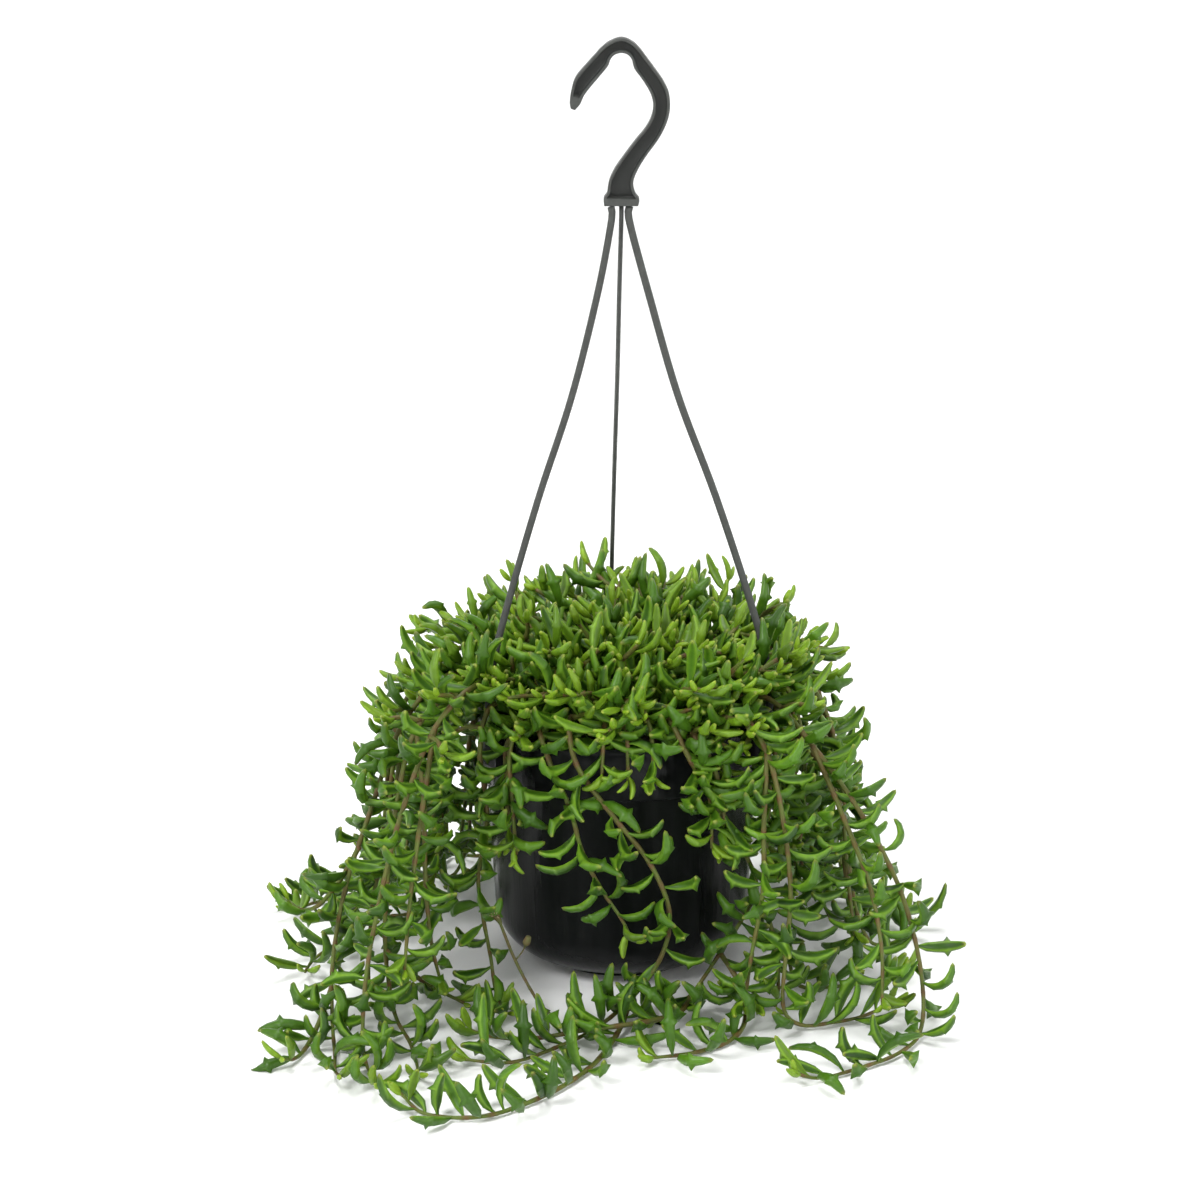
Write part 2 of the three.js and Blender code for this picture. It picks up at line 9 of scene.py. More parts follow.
import bmesh
import bpy
import numpy as np
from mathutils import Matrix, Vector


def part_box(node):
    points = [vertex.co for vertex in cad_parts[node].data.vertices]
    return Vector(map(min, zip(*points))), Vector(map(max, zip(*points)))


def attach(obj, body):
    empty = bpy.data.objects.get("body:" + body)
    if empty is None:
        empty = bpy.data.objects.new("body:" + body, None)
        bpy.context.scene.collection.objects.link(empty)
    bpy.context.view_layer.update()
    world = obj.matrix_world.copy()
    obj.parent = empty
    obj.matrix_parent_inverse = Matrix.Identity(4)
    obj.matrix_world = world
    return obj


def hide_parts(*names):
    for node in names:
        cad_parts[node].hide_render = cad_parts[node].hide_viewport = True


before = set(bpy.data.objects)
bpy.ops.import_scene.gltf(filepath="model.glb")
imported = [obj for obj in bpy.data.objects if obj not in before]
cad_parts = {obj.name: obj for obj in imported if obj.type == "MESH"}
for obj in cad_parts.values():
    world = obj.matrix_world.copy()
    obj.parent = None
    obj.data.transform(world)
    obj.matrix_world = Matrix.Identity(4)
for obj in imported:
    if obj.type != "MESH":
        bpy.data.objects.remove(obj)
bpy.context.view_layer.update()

bl_info = {
    "name": "Potted string of dolphins",
    "version": (1, 0, 0),
    "blender": (4, 5, 0),
    "location": "View3D > Sidebar > Dolphin plant",
    "description": "Builds a potted string of dolphins with its pot, soil, hanger and stems",
    "category": "Add Mesh",
}

MM = 0.001
UP = np.array([0.0, 0.0, 1.0])
GOLDEN_ANGLE = 2 * math.pi * 0.381966
SEED = 20

# Steps along a stem's route, corners round a stem, and its bare length at the root.
STEM_STEP = 0.003
STEM_SIDES = 7
BARE_ROOT = 0.004
# A twig grows at every so many steps of a route, between these two heights.
TWIG_EVERY = 8
TWIG_HEIGHTS = (0.140, 0.182)
# Below this height a leaf counts as lying on the floor; no leaf point goes under its lift.
FLOOR_ZONE = 0.012
LEAF_LIFT = 0.0004
# Inside this radius and below this height a leaf is turned off the pot's wall.
WALL_ZONE_RADIUS = 0.104
WALL_ZONE_TOP = 0.142

POT_BOX_LOW, POT_BOX_HIGH = (np.array(corner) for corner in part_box("pot"))
SOIL_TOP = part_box("soil")[1].z
COLLAR_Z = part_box("hanger_hook")[0].z
ROOT_Z = SOIL_TOP / MM + 0.9
LUG_AZIMUTHS = (94, 216, 336)


# ------------------------------------------------------------------ sizes and colours


def length(name, description, default, low=0.0, high=1.0):
    """A length property in metres."""
    return bpy.props.FloatProperty(
        name=name, description=description, default=default, min=low, max=high,
        precision=4, unit="LENGTH")


def colour(name, description, default):
    """A linear colour property."""
    return bpy.props.FloatVectorProperty(
        name=name, description=description, default=default, size=3, min=0, max=1,
        subtype="COLOR")


class DolphinPotSizes(bpy.types.PropertyGroup):
    """Sizes of the pot and its hanger."""

    rim_radius: length("Rim radius", "Outer radius of the pot's rim band", 0.075)
    rim_height: length("Height", "Height of the pot", float(POT_BOX_HIGH[2]))
    band_height: length("Band height", "Height of the rim band", 0.028)
    shoulder_radius: length("Shoulder radius", "Outer radius just below the rim band", 0.0712)
    corner_top_radius: length("Lower radius", "Outer radius above the rounded corner", 0.067)
    corner_height: length("Corner height", "Height of the top of the rounded corner", 0.028)
    corner_radius: length("Corner radius", "Radius of the rounded lower corner", 0.024)
    foot_radius: length("Foot radius", "Outer radius of the foot", 0.0425)
    wall: length("Wall", "Thickness of the pot's wall", 0.0018)
    floor: length("Floor", "Thickness of the pot's floor", 0.0024)
    wire_width: length("Wire width", "Wide side of the hanger's oval wires", 0.0041)
    wire_thickness: length("Wire thickness", "Narrow side of the hanger's oval wires", 0.0024)
    hook_depth: length("Hook depth", "Depth of the hook, front to back", 0.008)
    hook_web: length("Hook web", "Thickness of the web between the hook's two pockets", 0.0022)
    hook_lip: length("Hook lip", "Width of the raised rim round the hook's pockets", 0.0014)


class DolphinLeafSizes(bpy.types.PropertyGroup):
    """Sizes of the stems and leaves."""

    stem_radius: length("Stem radius", "Radius of an old stem", 0.00135)
    tip_radius: length("Tip radius", "Radius of a stem at its tip", 0.0008)
    leaf_length: length("Leaf length", "Length of a grown leaf along its curve", 0.028)
    leaf_width: length("Leaf width", "Half width of a grown leaf", 0.0028)
    leaf_thickness: length("Leaf thickness", "Half thickness of a grown leaf", 0.0027)
    fin: length("Fin", "How far the two side fins stand out", 0.0024)
    hanging_spacing: length("Hanging spacing", "Leaf spacing on a hanging stem", 0.0066)
    crown_spacing: length("Crown spacing", "Leaf spacing on a crown shoot", 0.0057)
    young_length: length("Young length", "Length of the young part of a shoot", 0.013)


class DolphinColours(bpy.types.PropertyGroup):
    """Colours of the plant, the pot and the hanger."""

    leaf_dark: colour("Dark leaf", "Deep green of shaded leaves", (0.009, 0.040, 0.002))
    leaf_mid: colour("Leaf", "Fresh green of grown leaves", (0.070, 0.178, 0.007))
    leaf_edge: colour("Leaf edge", "Light green of a leaf's ridges", (0.150, 0.290, 0.018))
    leaf_young: colour("Young leaf", "Lime of the newest leaves", (0.210, 0.340, 0.014))
    stem_old: colour("Old stem", "Brown green of old stems", (0.090, 0.078, 0.016))
    stem_green: colour("Stem", "Olive green of stems", (0.080, 0.125, 0.013))
    pot: colour("Pot", "Black of the pot", (0.0050, 0.0056, 0.0056))
    hanger: colour("Hanger", "Dark grey green of the hanger", (0.058, 0.061, 0.057))
    soil: colour("Soil", "Dark brown of the soil", (0.030, 0.018, 0.011))
    floor: colour("Floor", "Pale floor and background", (0.92, 0.92, 0.92))


# ------------------------------------------------------------------ meshes from arrays


def unit(vectors):
    """Each vector divided by its own length."""
    return vectors / np.maximum(np.linalg.norm(vectors, axis=-1, keepdims=True), 1e-12)


def dot(a, b):
    """Row by row dot product, kept as a column."""
    return np.sum(a * b, axis=-1, keepdims=True)


def new_object(name, vertices, faces, material, smooth=True):
    """An object at the origin from a vertex array and a list of faces."""
    mesh = bpy.data.meshes.new(name)
    mesh.from_pydata(vertices.tolist(), [], faces)
    mesh.validate()
    if smooth:
        mesh.polygons.foreach_set("use_smooth", np.ones(len(mesh.polygons), dtype=bool))
    mesh.materials.append(material)
    mesh.update()
    made = bpy.data.objects.new(name, mesh)
    bpy.context.scene.collection.objects.link(made)
    return made


def stands_for(piece, slot, *nodes):
    """A piece that rides on the one body and stands for CAD nodes, which it hides; its slot is not
    used.
    """
    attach(piece, "root")
    if nodes:
        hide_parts(*nodes)
    return piece


def ring_faces(rows, around, start=0):
    """Quads of a grid of rows rings that close round, numbered from start."""
    row, column = np.meshgrid(np.arange(rows - 1), np.arange(around), indexing="ij")
    here = start + row * around + column
    beside = start + row * around + (column + 1) % around
    return np.stack([here, beside, beside + around, here + around], axis=-1).reshape(-1, 4)


def closed_loft(rings):
    """A closed skin over rings of points, (rings, around, 3), with a centre point at each end."""
    rows, around, _ = rings.shape
    vertices = np.concatenate([
        rings.reshape(-1, 3), rings[:1].mean(axis=1), rings[-1:].mean(axis=1)])
    faces = ring_faces(rows, around).tolist()
    first, last = rows * around, rows * around + 1
    step = np.arange(around)
    beside = (step + 1) % around
    faces += np.stack([np.full(around, first), beside, step], axis=-1).tolist()
    top = (rows - 1) * around
    faces += np.stack([np.full(around, last), top + step, top + beside], axis=-1).tolist()
    return vertices, faces


def turned(profile, around):
    """A profile of (radius, height) points, first and last on the axis, turned about Z.

    A point is (r cos a, r sin a, z) for every profile point and angle a.
    """
    angle = np.linspace(0, 2 * math.pi, around, endpoint=False)
    inner = profile[1:-1]
    rings = np.stack([
        inner[:, :1] * np.cos(angle),
        inner[:, :1] * np.sin(angle),
        np.repeat(inner[:, 1:], around, axis=1)], axis=-1)
    vertices, faces = closed_loft(rings)
    vertices[-2:] = [(0, 0, profile[0, 1]), (0, 0, profile[-1, 1])]
    return vertices, faces


def through(points, pieces):
    """A smooth curve through points, each stretch between two of them cut in equal pieces.

    Between two points the curve is the cubic whose slope at each point is half the way from
    the point before to the point after; past an end the curve runs on straight.
    """
    points = np.asarray(points, dtype=float)
    padded = np.concatenate([
        2 * points[:1] - points[1:2], points, 2 * points[-1:] - points[-2:-1]])
    p0, p1, p2, p3 = (padded[i:len(padded) - 3 + i, None] for i in range(4))
    t = np.linspace(0, 1, pieces, endpoint=False)[None, :, None]
    fine = 0.5 * (
        2 * p1 + (p2 - p0) * t + (2 * p0 - 5 * p1 + 4 * p2 - p3) * t**2
        + (3 * p1 - p0 - 3 * p2 + p3) * t**3)
    return np.concatenate([fine.reshape(-1, points.shape[1]), points[-1:]])


def smooth_route(points, step):
    """A smooth curve through points, at equal steps along its length, and the distances."""
    fine = through(points, 24)
    travelled = np.concatenate([[0], np.cumsum(np.linalg.norm(np.diff(fine, axis=0), axis=1))])
    stations = np.linspace(0, travelled[-1], max(4, int(round(travelled[-1] / step))) + 1)
    curve = np.stack([np.interp(stations, travelled, fine[:, i]) for i in range(3)], axis=-1)
    return curve, stations


def carried_frames(curve):
    """Directions along, across and over at each station, turned as little as can be.

    Each station's across direction is the last one with its part along the curve taken out.
    """
    along = unit(np.gradient(curve, axis=0))
    guess = np.array([1.0, 0.0, 0.0]) if abs(along[0, 2]) > 0.7 else UP
    across = np.empty_like(along)
    for i, heading in enumerate(along):
        guess = guess - heading * np.dot(guess, heading)
        guess = guess / np.linalg.norm(guess)
        across[i] = guess
    return along, across, np.cross(along, across)


def tube_rings(curve, half_across, half_over, around):
    """Ellipses carried along a curve: centre + a cos(t) across + b sin(t) over."""
    _, across, over = carried_frames(curve)
    angle = np.linspace(0, 2 * math.pi, around, endpoint=False)[None, :, None]
    half_across = np.broadcast_to(half_across, len(curve))[:, None, None]
    half_over = np.broadcast_to(half_over, len(curve))[:, None, None]
    return (curve[:, None] + half_across * np.cos(angle) * across[:, None]
            + half_over * np.sin(angle) * over[:, None])


def polar(radius, azimuth, z):
    """A point in millimetres from its radius, its azimuth in degrees and its height."""
    turn = math.radians(azimuth)
    return (radius * math.cos(turn), radius * math.sin(turn), z)


def vary(seed, which):
    """A repeatable number from -1 to 1 for a plant feature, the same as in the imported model."""
    wave = math.sin(seed * 12.9898 + which * 78.233) * 43758.5453
    return 2 * (wave - math.floor(wave)) - 1


# ------------------------------------------------------------------ materials


def node(tree, kind, **settings):
    """A new node, with its attributes set by name."""
    made = tree.nodes.new(kind)
    for key, value in settings.items():
        setattr(made, key, value)
    return made


def blank_material(name, roughness, **fixed):
    """A material with a Principled shader, its constant values set on its own sockets."""
    material = bpy.data.materials.new(name)
    material.use_nodes = True
    shader = material.node_tree.nodes["Principled BSDF"]
    shader.inputs["Roughness"].default_value = roughness
    for socket, value in fixed.items():
        shader.inputs[socket.replace("_", " ")].default_value = value
    return material, material.node_tree, shader


def ranged(tree, socket, reach=(0, 1), to=(0, 1)):
    """A value stretched from one range to another and held inside the second."""
    made = node(tree, "ShaderNodeMapRange")
    for name, value in zip(("From Min", "From Max", "To Min", "To Max"), (*reach, *to)):
        made.inputs[name].default_value = value
    tree.links.new(socket, made.inputs["Value"])
    return made.outputs["Result"]


def mottle_group():
    """A node group: two colours mixed by soft noise, the noise as a mask, and a grain height."""
    name = "Mottled tone"
    if name in bpy.data.node_groups:
        return bpy.data.node_groups[name]
    tree = bpy.data.node_groups.new(name, "ShaderNodeTree")
    for way, kind, labels in (
            ("INPUT", "Color", ("First colour", "Second colour")),
            ("INPUT", "Float", ("Blotch scale", "Grain scale", "Contrast")),
            ("INPUT", "Vector", ("Stretch",)),
            ("OUTPUT", "Color", ("Colour",)),
            ("OUTPUT", "Float", ("Mask", "Grain"))):
        for label in labels:
            tree.interface.new_socket(label, in_out=way, socket_type=f"NodeSocket{kind}")
    inside = node(tree, "NodeGroupInput")
    outside = node(tree, "NodeGroupOutput")
    where = node(tree, "ShaderNodeTexCoord")
    stretch = node(tree, "ShaderNodeVectorMath", operation="MULTIPLY")
    blotch = node(tree, "ShaderNodeTexNoise")
    blotch.inputs["Detail"].default_value = 3.0
    grain = node(tree, "ShaderNodeTexNoise")
    grain.inputs["Detail"].default_value = 2.0
    scaled = node(tree, "ShaderNodeMath", operation="MULTIPLY")
    mix = node(tree, "ShaderNodeMix", data_type="RGBA")
    tree.links.new(ranged(tree, blotch.outputs["Fac"], (0.35, 0.65)), scaled.inputs[0])
    for source, output, target, socket in (
            (where, "Object", stretch, 0), (inside, "Stretch", stretch, 1),
            (stretch, "Vector", blotch, "Vector"), (stretch, "Vector", grain, "Vector"),
            (inside, "Blotch scale", blotch, "Scale"), (inside, "Grain scale", grain, "Scale"),
            (inside, "Contrast", scaled, 1), (scaled, "Value", mix, "Factor"),
            (inside, "First colour", mix, "A"), (inside, "Second colour", mix, "B"),
            (mix, "Result", outside, "Colour"), (scaled, "Value", outside, "Mask"),
            (grain, "Fac", outside, "Grain")):
        tree.links.new(source.outputs[output], target.inputs[socket])
    return tree


def mottled(tree, first, second, blotch=300.0, grain=2500.0, contrast=1.0, stretch=(1, 1, 1)):
    """The mottle group placed in a material with its own values. A colour may be a socket."""
    made = node(tree, "ShaderNodeGroup")
    made.node_tree = mottle_group()
    for label, value in (("First colour", first), ("Second colour", second)):
        if isinstance(value, bpy.types.NodeSocket):
            tree.links.new(value, made.inputs[label])
        else:
            made.inputs[label].default_value = (*value, 1)
    made.inputs["Blotch scale"].default_value = blotch
    made.inputs["Grain scale"].default_value = grain
    made.inputs["Contrast"].default_value = contrast
    made.inputs["Stretch"].default_value = stretch
    return made


def dress(tree, shader, skin, roughs=None, grained=None, colour=None):
    """Joins a mottle to a shader: its colour, its roughness range and the bump of its grain.

    The grain's pair is the bump's strength and distance; a colour given replaces the mottle's.
    """
    colour = skin.outputs["Colour"] if colour is None else colour
    tree.links.new(colour, shader.inputs["Base Color"])
    if roughs:
        tree.links.new(ranged(tree, skin.outputs["Mask"], to=roughs), shader.inputs["Roughness"])
    if grained:
        made = node(tree, "ShaderNodeBump")
        made.inputs["Strength"].default_value, made.inputs["Distance"].default_value = grained
        tree.links.new(skin.outputs["Grain"], made.inputs["Height"])
        tree.links.new(made.outputs["Normal"], shader.inputs["Normal"])


def leaf_facts(tree):
    """The four sockets of the plant's own attribute: red, green, blue and alpha."""
    facts = node(tree, "ShaderNodeAttribute", attribute_name="leaf_facts")
    parts = node(tree, "ShaderNodeSeparateColor")
    tree.links.new(facts.outputs["Color"], parts.inputs["Color"])
    return *(parts.outputs[name] for name in ("Red", "Green", "Blue")), facts.outputs["Alpha"]


def mixed(tree, factor, first, second):
    """Two colours, sockets or values, mixed by a socket."""
    made = node(tree, "ShaderNodeMix", data_type="RGBA")
    tree.links.new(factor, made.inputs["Factor"])
    for socket, value in (("A", first), ("B", second)):
        if isinstance(value, bpy.types.NodeSocket):
            tree.links.new(value, made.inputs[socket])
        else:
            made.inputs[socket].default_value = (*value, 1)
    return made.outputs["Result"]


def darker(value, share):
    """A colour scaled to a share of itself."""
    return tuple(channel * share for channel in value)


def named(maker):
    """A material made once and found again by its label, which no CAD material has."""
    def find(colours):
        label = f"{maker.__name__}_finish"
        return bpy.data.materials.get(label) or maker(colours, label)
    return find


@named
def leaf_skin(colours, label):
    """Fleshy leaf: deep to fresh green by leaf, lighter ridges, a darker window, lime when young."""
    material, tree, shader = blank_material(
        label, 0.4, Subsurface_Weight=0.08, Subsurface_Scale=0.0015,
        Subsurface_Radius=(0.5, 1.0, 0.2), Specular_IOR_Level=0.3)
    tone, youth, along, ridged = leaf_facts(tree)
    body = mixed(tree, tone, tuple(colours.leaf_dark), tuple(colours.leaf_mid))
    ridge = node(tree, "ShaderNodeValToRGB")
    ridge.color_ramp.elements[0].position = 0.45
    ridge.color_ramp.elements[1].position = 1.0
    tree.links.new(ridged, ridge.inputs["Fac"])
    edged = mixed(tree, ridge.outputs["Color"], body, tuple(colours.leaf_edge))
    window = ranged(tree, ridged, (0, 0.35), (0.3, 0))
    windowed = mixed(tree, window, edged, tuple(colours.leaf_dark))
    fresh = mixed(tree, youth, windowed, tuple(colours.leaf_young))
    tipped = mixed(tree, ranged(tree, along, (0.9, 1), (0, 0.35)), fresh, (0.36, 0.22, 0.06))
    dim = node(tree, "ShaderNodeMix", data_type="RGBA", blend_type="MULTIPLY")
    dim.inputs["Factor"].default_value = 1.0
    dim.inputs["B"].default_value = (0.72, 0.76, 0.72, 1)
    tree.links.new(tipped, dim.inputs["A"])
    skin = mottled(tree, tipped, dim.outputs["Result"], blotch=260, grain=3200, contrast=0.8)
    dress(tree, shader, skin, (0.36, 0.5), (0.12, 0.0003))
    return material


@named
def stem_skin(colours, label):
    """Stem: olive green with brown and purple blotches, browner towards its root."""
    material, tree, shader = blank_material(label, 0.55, Specular_IOR_Level=0.3)
    tone, youth, scar, _ = leaf_facts(tree)
    body = mixed(tree, youth, tuple(colours.stem_old), tuple(colours.stem_green))
    ringed = mixed(tree, scar, body, (0.115, 0.055, 0.020))
    purple = mixed(tree, tone, ringed, (0.105, 0.070, 0.028))
    skin = mottled(tree, ringed, purple, blotch=160, grain=1800, contrast=0.9)
    dress(tree, shader, skin, (0.45, 0.65), (0.3, 0.0004))
    return material


@named
def pot_plastic(colours, label):
    """Glossy black moulded plastic with fine upright flow marks."""
    material, tree, shader = blank_material(label, 0.2, Specular_IOR_Level=0.13)
    skin = mottled(tree, tuple(colours.pot), darker(colours.pot, 1.7), blotch=90, grain=420,
                   contrast=0.8, stretch=(1, 1, 0.06))
    dress(tree, shader, skin, (0.14, 0.3), (0.22, 0.0006))
    return material


@named
def hanger_plastic(colours, label):
    """Satin dark plastic with a fine moulded grain, and painted shade darkening the hook's pockets.
    """
    material, tree, shader = blank_material(label, 0.42, Specular_IOR_Level=0.16)
    skin = mottled(tree, tuple(colours.hanger), darker(colours.hanger, 0.72), blotch=240,
                   grain=5200, contrast=0.6)
    # Painted shade: where the sunk mark is 1, in the hook's pockets, the colour drops to about a
    # third of the hanger's.
    sunk = node(tree, "ShaderNodeAttribute", attribute_name="sunk")
    deep = mixed(tree, sunk.outputs["Fac"], skin.outputs["Colour"], darker(colours.hanger, 0.36))
    dress(tree, shader, skin, (0.34, 0.5), (0.15, 0.0002), deep)
    return material


@named
def soil_crumb(colours, label):
    """Loose dark soil with paler crumbs."""
    material, tree, shader = blank_material(label, 0.95)
    skin = mottled(tree, tuple(colours.soil), darker(colours.soil, 2.6), blotch=520, grain=1500)
    dress(tree, shader, skin, grained=(0.8, 0.0015))
    return material


@named
def dry_stalk_skin(colours, label):
    """Flower stalk: olive green going brown, with straw-coloured dried parts."""
    material, tree, shader = blank_material(label, 0.7)
    skin = mottled(tree, (0.085, 0.105, 0.022), (0.11, 0.065, 0.025), blotch=220, grain=2000)
    dress(tree, shader, skin, grained=(0.3, 0.0003))
    return material


@named
def dry_bristle(colours, label):
    """Straw-coloured dried bristles."""
    material, tree, shader = blank_material(label, 0.85)
    skin = mottled(tree, (0.42, 0.33, 0.21), (0.24, 0.16, 0.09), blotch=500, grain=3000)
    dress(tree, shader, skin)
    return material


@named
def stage_paper(colours, label):
    """Plain pale floor and background."""
    material, tree, shader = blank_material(label, 0.9)
    skin = mottled(tree, tuple(colours.floor), darker(colours.floor, 0.99), blotch=6, grain=60)
    dress(tree, shader, skin)
    return material


# ------------------------------------------------------------------ where the stems grow


# Long stems that fall over the rim at the front and sides: routes in millimetres from the root
# outwards, each with its side shoots.
TRAILING = {
    "front_sweep": (
        ((-18, -48, ROOT_Z), (-21, -56, 146), (-26, -76, 153), (-22, -88, 134), (-4, -88, 107),
         (14, -87, 82), (24, -86, 55), (20, -89, 32), (6, -95, 13), (-12, -112, 4),
         (-30, -130, 2.4), (-54, -149, 2.4), (-78, -151, 5)),
        ((5, -96, 12), (0, -112, 5), (-6, -130, 2.4), (-16, -156, 2.4), (-36, -184, 2.4),
         (-64, -206, 2.4), (-92, -204, 2.4), (-105, -190, 6)),
    ),
    "front_right": (
        ((20, -48, ROOT_Z), (21, -56, 146), (25, -77, 152), (34, -85, 136), (46, -77, 112),
         (60, -66, 84), (69, -59, 58), (62, -67, 44), (50, -80, 30), (37, -92, 15),
         (25, -99, 5), (14, -106, 3)),
        ((68, -60, 56), (75, -64, 42), (79, -68, 26), (80, -77, 11), (78, -88, 4)),
        ((37, -92, 15), (30, -104, 9), (16, -116, 9.5), (0, -122, 9.5), (-20, -127, 9),
         (-42, -127, 5), (-62, -122, 3), (-78, -112, 3)),
        ((50, -80, 30), (60, -92, 17), (62, -108, 6), (54, -124, 2.4), (36, -138, 2.4),
         (12, -146, 3)),
    ),
    "front_middle": (
        ((-33, -42, ROOT_Z), (-36, -50, 146), (-42, -71, 152), (-36, -83, 135), (-26, -87, 112),
         (-19, -87, 86), (-9, -87, 66), (0, -88, 52), (5, -90, 42)),
    ),
    "front_left": (
        ((-45, -30, ROOT_Z), (-51, -36, 148), (-66, -58, 154), (-71, -68, 134),
         (-68, -69, 108), (-69, -67, 86), (-73, -63, 65), (-71, -65, 45), (-67, -70, 24),
         (-64, -78, 7), (-58, -94, 3)),
    ),
    "left_front": (
        ((-53, -18, ROOT_Z), (-60, -24, 150), (-82, -47, 160), (-103, -66, 145),
         (-112, -78, 112), (-117, -86, 76), (-119, -90, 42), (-117, -92, 15), (-113, -103, 4),
         (-105, -126, 2.4), (-100, -150, 2.4), (-98, -168, 5)),
        ((-119, -90, 36), (-107, -86, 22), (-94, -80, 10), (-80, -84, 4)),
    ),
    "left_tall": (
        ((-46, -20, ROOT_Z), (-54, -34, 153), (-72, -64, 168), (-92, -90, 154),
         (-108, -108, 116), (-118, -120, 78), (-125, -130, 42), (-127, -138, 14),
         (-125, -150, 4), (-120, -167, 2.4), (-116, -183, 6)),
    ),
    "left_outer": (
        ((-57, -6, ROOT_Z), (-66, -10, 152), (-90, -30, 161), (-112, -50, 140),
         (-126, -68, 104), (-139, -82, 66), (-145, -96, 32), (-144, -116, 9),
         (-141, -138, 2.4), (-139, -158, 2.4), (-135, -172, 6)),
        ((-132, -75, 86), (-141, -77, 70), (-153, -74, 54), (-163, -67, 48), (-170, -62, 51)),
        ((-145, -104, 22), (-151, -119, 8), (-156, -134, 2.4), (-160, -146, 3), (-165, -155, 7)),
    ),
    "right_front": (
        ((36, -38, ROOT_Z), (42, -45, 148), (58, -69, 156), (72, -86, 140), (80, -96, 108),
         (84, -100, 72), (82, -104, 40), (81, -109, 13), (90, -110, 4), (105, -104, 2.4),
         (122, -96, 2.4), (138, -87, 6)),
    ),
    "right_outer": (
        ((46, -28, ROOT_Z), (53, -34, 150), (75, -52, 156), (96, -65, 136), (119, -77, 106),
         (137, -87, 74), (147, -95, 44), (151, -105, 18), (148, -120, 4), (136, -139, 2.4),
         (116, -155, 2.4), (96, -166, 2.4), (84, -171, 7)),
    ),
    "right_low": (
        ((54, -14, ROOT_Z), (60, -17, 150), (82, -30, 157), (92, -38, 132), (93, -44, 96),
         (89, -51, 60), (86, -59, 26), (90, -64, 6), (104, -61, 2.4), (122, -57, 2.4),
         (136, -54, 3), (146, -50, 7)),
    ),
}

# Side shoots beside the long stems: the first and last points that each follows, how far it
# turns in degrees and how far it moves outwards.
BESIDE = {
    "left_front": ((3, 7, 6, -22),),
    "left_tall": ((3, 6, 4, -14),),
    "left_outer": ((3, 7, -6, -32),),
    "right_front": ((3, 7, -7, -12),),
    "right_outer": ((3, 7, -7, -10),),
    "right_low": ((3, 6, 12, 26),),
}


def beside(route, first, last, turn, out):
    """A side shoot from a point of a route that turns round the axis and moves outwards."""
    shoot = []
    for i, (x, y, z) in enumerate(route[first:last + 1]):
        share = math.sqrt(i / (last - first))
        azimuth = math.degrees(math.atan2(y, x)) + turn * share
        shoot.append(polar(math.hypot(x, y) + out * share, azimuth, z))
    return tuple(shoot)


SKIRT = {"count": 15, "from": -6, "to": 177, "root": 58, "outer": 120, "inner": 102, "run": 44}


def skirt_stem(k):
    """One of the stems round the sides and back: up, over the rim, down and out."""
    azimuth = (SKIRT["from"] + (SKIRT["to"] - SKIRT["from"]) * k / (SKIRT["count"] - 1)
               + 1.5 * vary(k, 1))
    is_outer = k % 2 == 0
    reach = SKIRT["outer" if is_outer else "inner"] + 5 * vary(k, 2)
    crest = (160 if is_outer else 152) + 2 * vary(k, 3)
    sway = 3 * vary(k, 4)
    run = SKIRT["run"] + 12 * vary(k, 5)
    swirl = 1 if is_outer else 0.5
    return (
        polar(SKIRT["root"], azimuth, ROOT_Z),
        polar(SKIRT["root"] + 6, azimuth, crest - 8),
        polar(reach * 0.78, azimuth + 0.3 * sway, crest),
        polar(reach * 0.93, azimuth + 0.6 * sway, crest - 24),
        polar(reach, azimuth + sway, crest - 58),
        polar(reach + 4, azimuth + 0.6 * sway, crest - 96),
        polar(reach + 9, azimuth, 28),
        polar(reach + 17, azimuth + 1.5, 7),
        polar(reach + 17 + 0.35 * run, azimuth + 5 * swirl, 2.4),
        polar(reach + 17 + 0.62 * run, azimuth + 11 * swirl, 2.4),
        polar(reach + 17 + 0.8 * run, azimuth + 18 * swirl, 5),
    )


SKIRT_BESIDE = {"first": 3, "last": 6, "turn": 6.5, "outer": -4, "inner": -5}


def skirt_routes(k):
    """A skirt stem and the side shoot beside it."""
    main = skirt_stem(k)
    out = SKIRT_BESIDE["outer" if k % 2 == 0 else "inner"]
    return main, beside(main, SKIRT_BESIDE["first"], SKIRT_BESIDE["last"],
                        SKIRT_BESIDE["turn"], out)


SPILL = {"azimuths": (196, 232, 294, 320), "root": 62, "reach": 94, "drop": 70}
SPILL_BESIDE = ((-7, 0), (-8, -10), (5, 0), (-6, 0))


def spill_stem(k):
    """A short stem that only spills over the rim."""
    azimuth = SPILL["azimuths"][k]
    reach = SPILL["reach"] + 3 * vary(k, 12)
    low = 150 - SPILL["drop"] + 10 * vary(k, 13)
    return (
        polar(SPILL["root"], azimuth, ROOT_Z),
        polar(SPILL["root"] + 5, azimuth, 144),
        polar(reach - 12, azimuth, 150),
        polar(reach, azimuth + 1, 136),
        polar(reach + 3, azimuth + 3, 114),
        polar(reach + 2, azimuth + 4, low),
    )


def spill_routes(k):
    """A spill stem and the side shoot beside it."""
    main = spill_stem(k)
    return main, beside(main, 2, len(main) - 1, *SPILL_BESIDE[k])


# Rings of the crown: how many shoots, where they root, where and how high their tips stand.
CROWN = {
    "centre": {"count": 4, "root": 11, "lean": 24, "tip": 187, "turn": 20},
    "middle": {"count": 8, "root": 26, "lean": 60, "tip": 181, "turn": 5},
    "edge": {"count": 11, "root": 42, "lean": 92, "tip": 169, "turn": 1.2},
}


# Side shoots that droop over the front of the rim: the azimuths where they hang, by the place
# of the edge shoot that they grow from.
DROOP = {8: (264, 272), 9: (280, 303)}


def droop_shoot(fork, azimuth):
    """A shoot from a fork out over the rim and down."""
    return (fork, polar(68, azimuth, 156), polar(84, azimuth, 150), polar(90, azimuth, 138),
            polar(90, azimuth, 127))


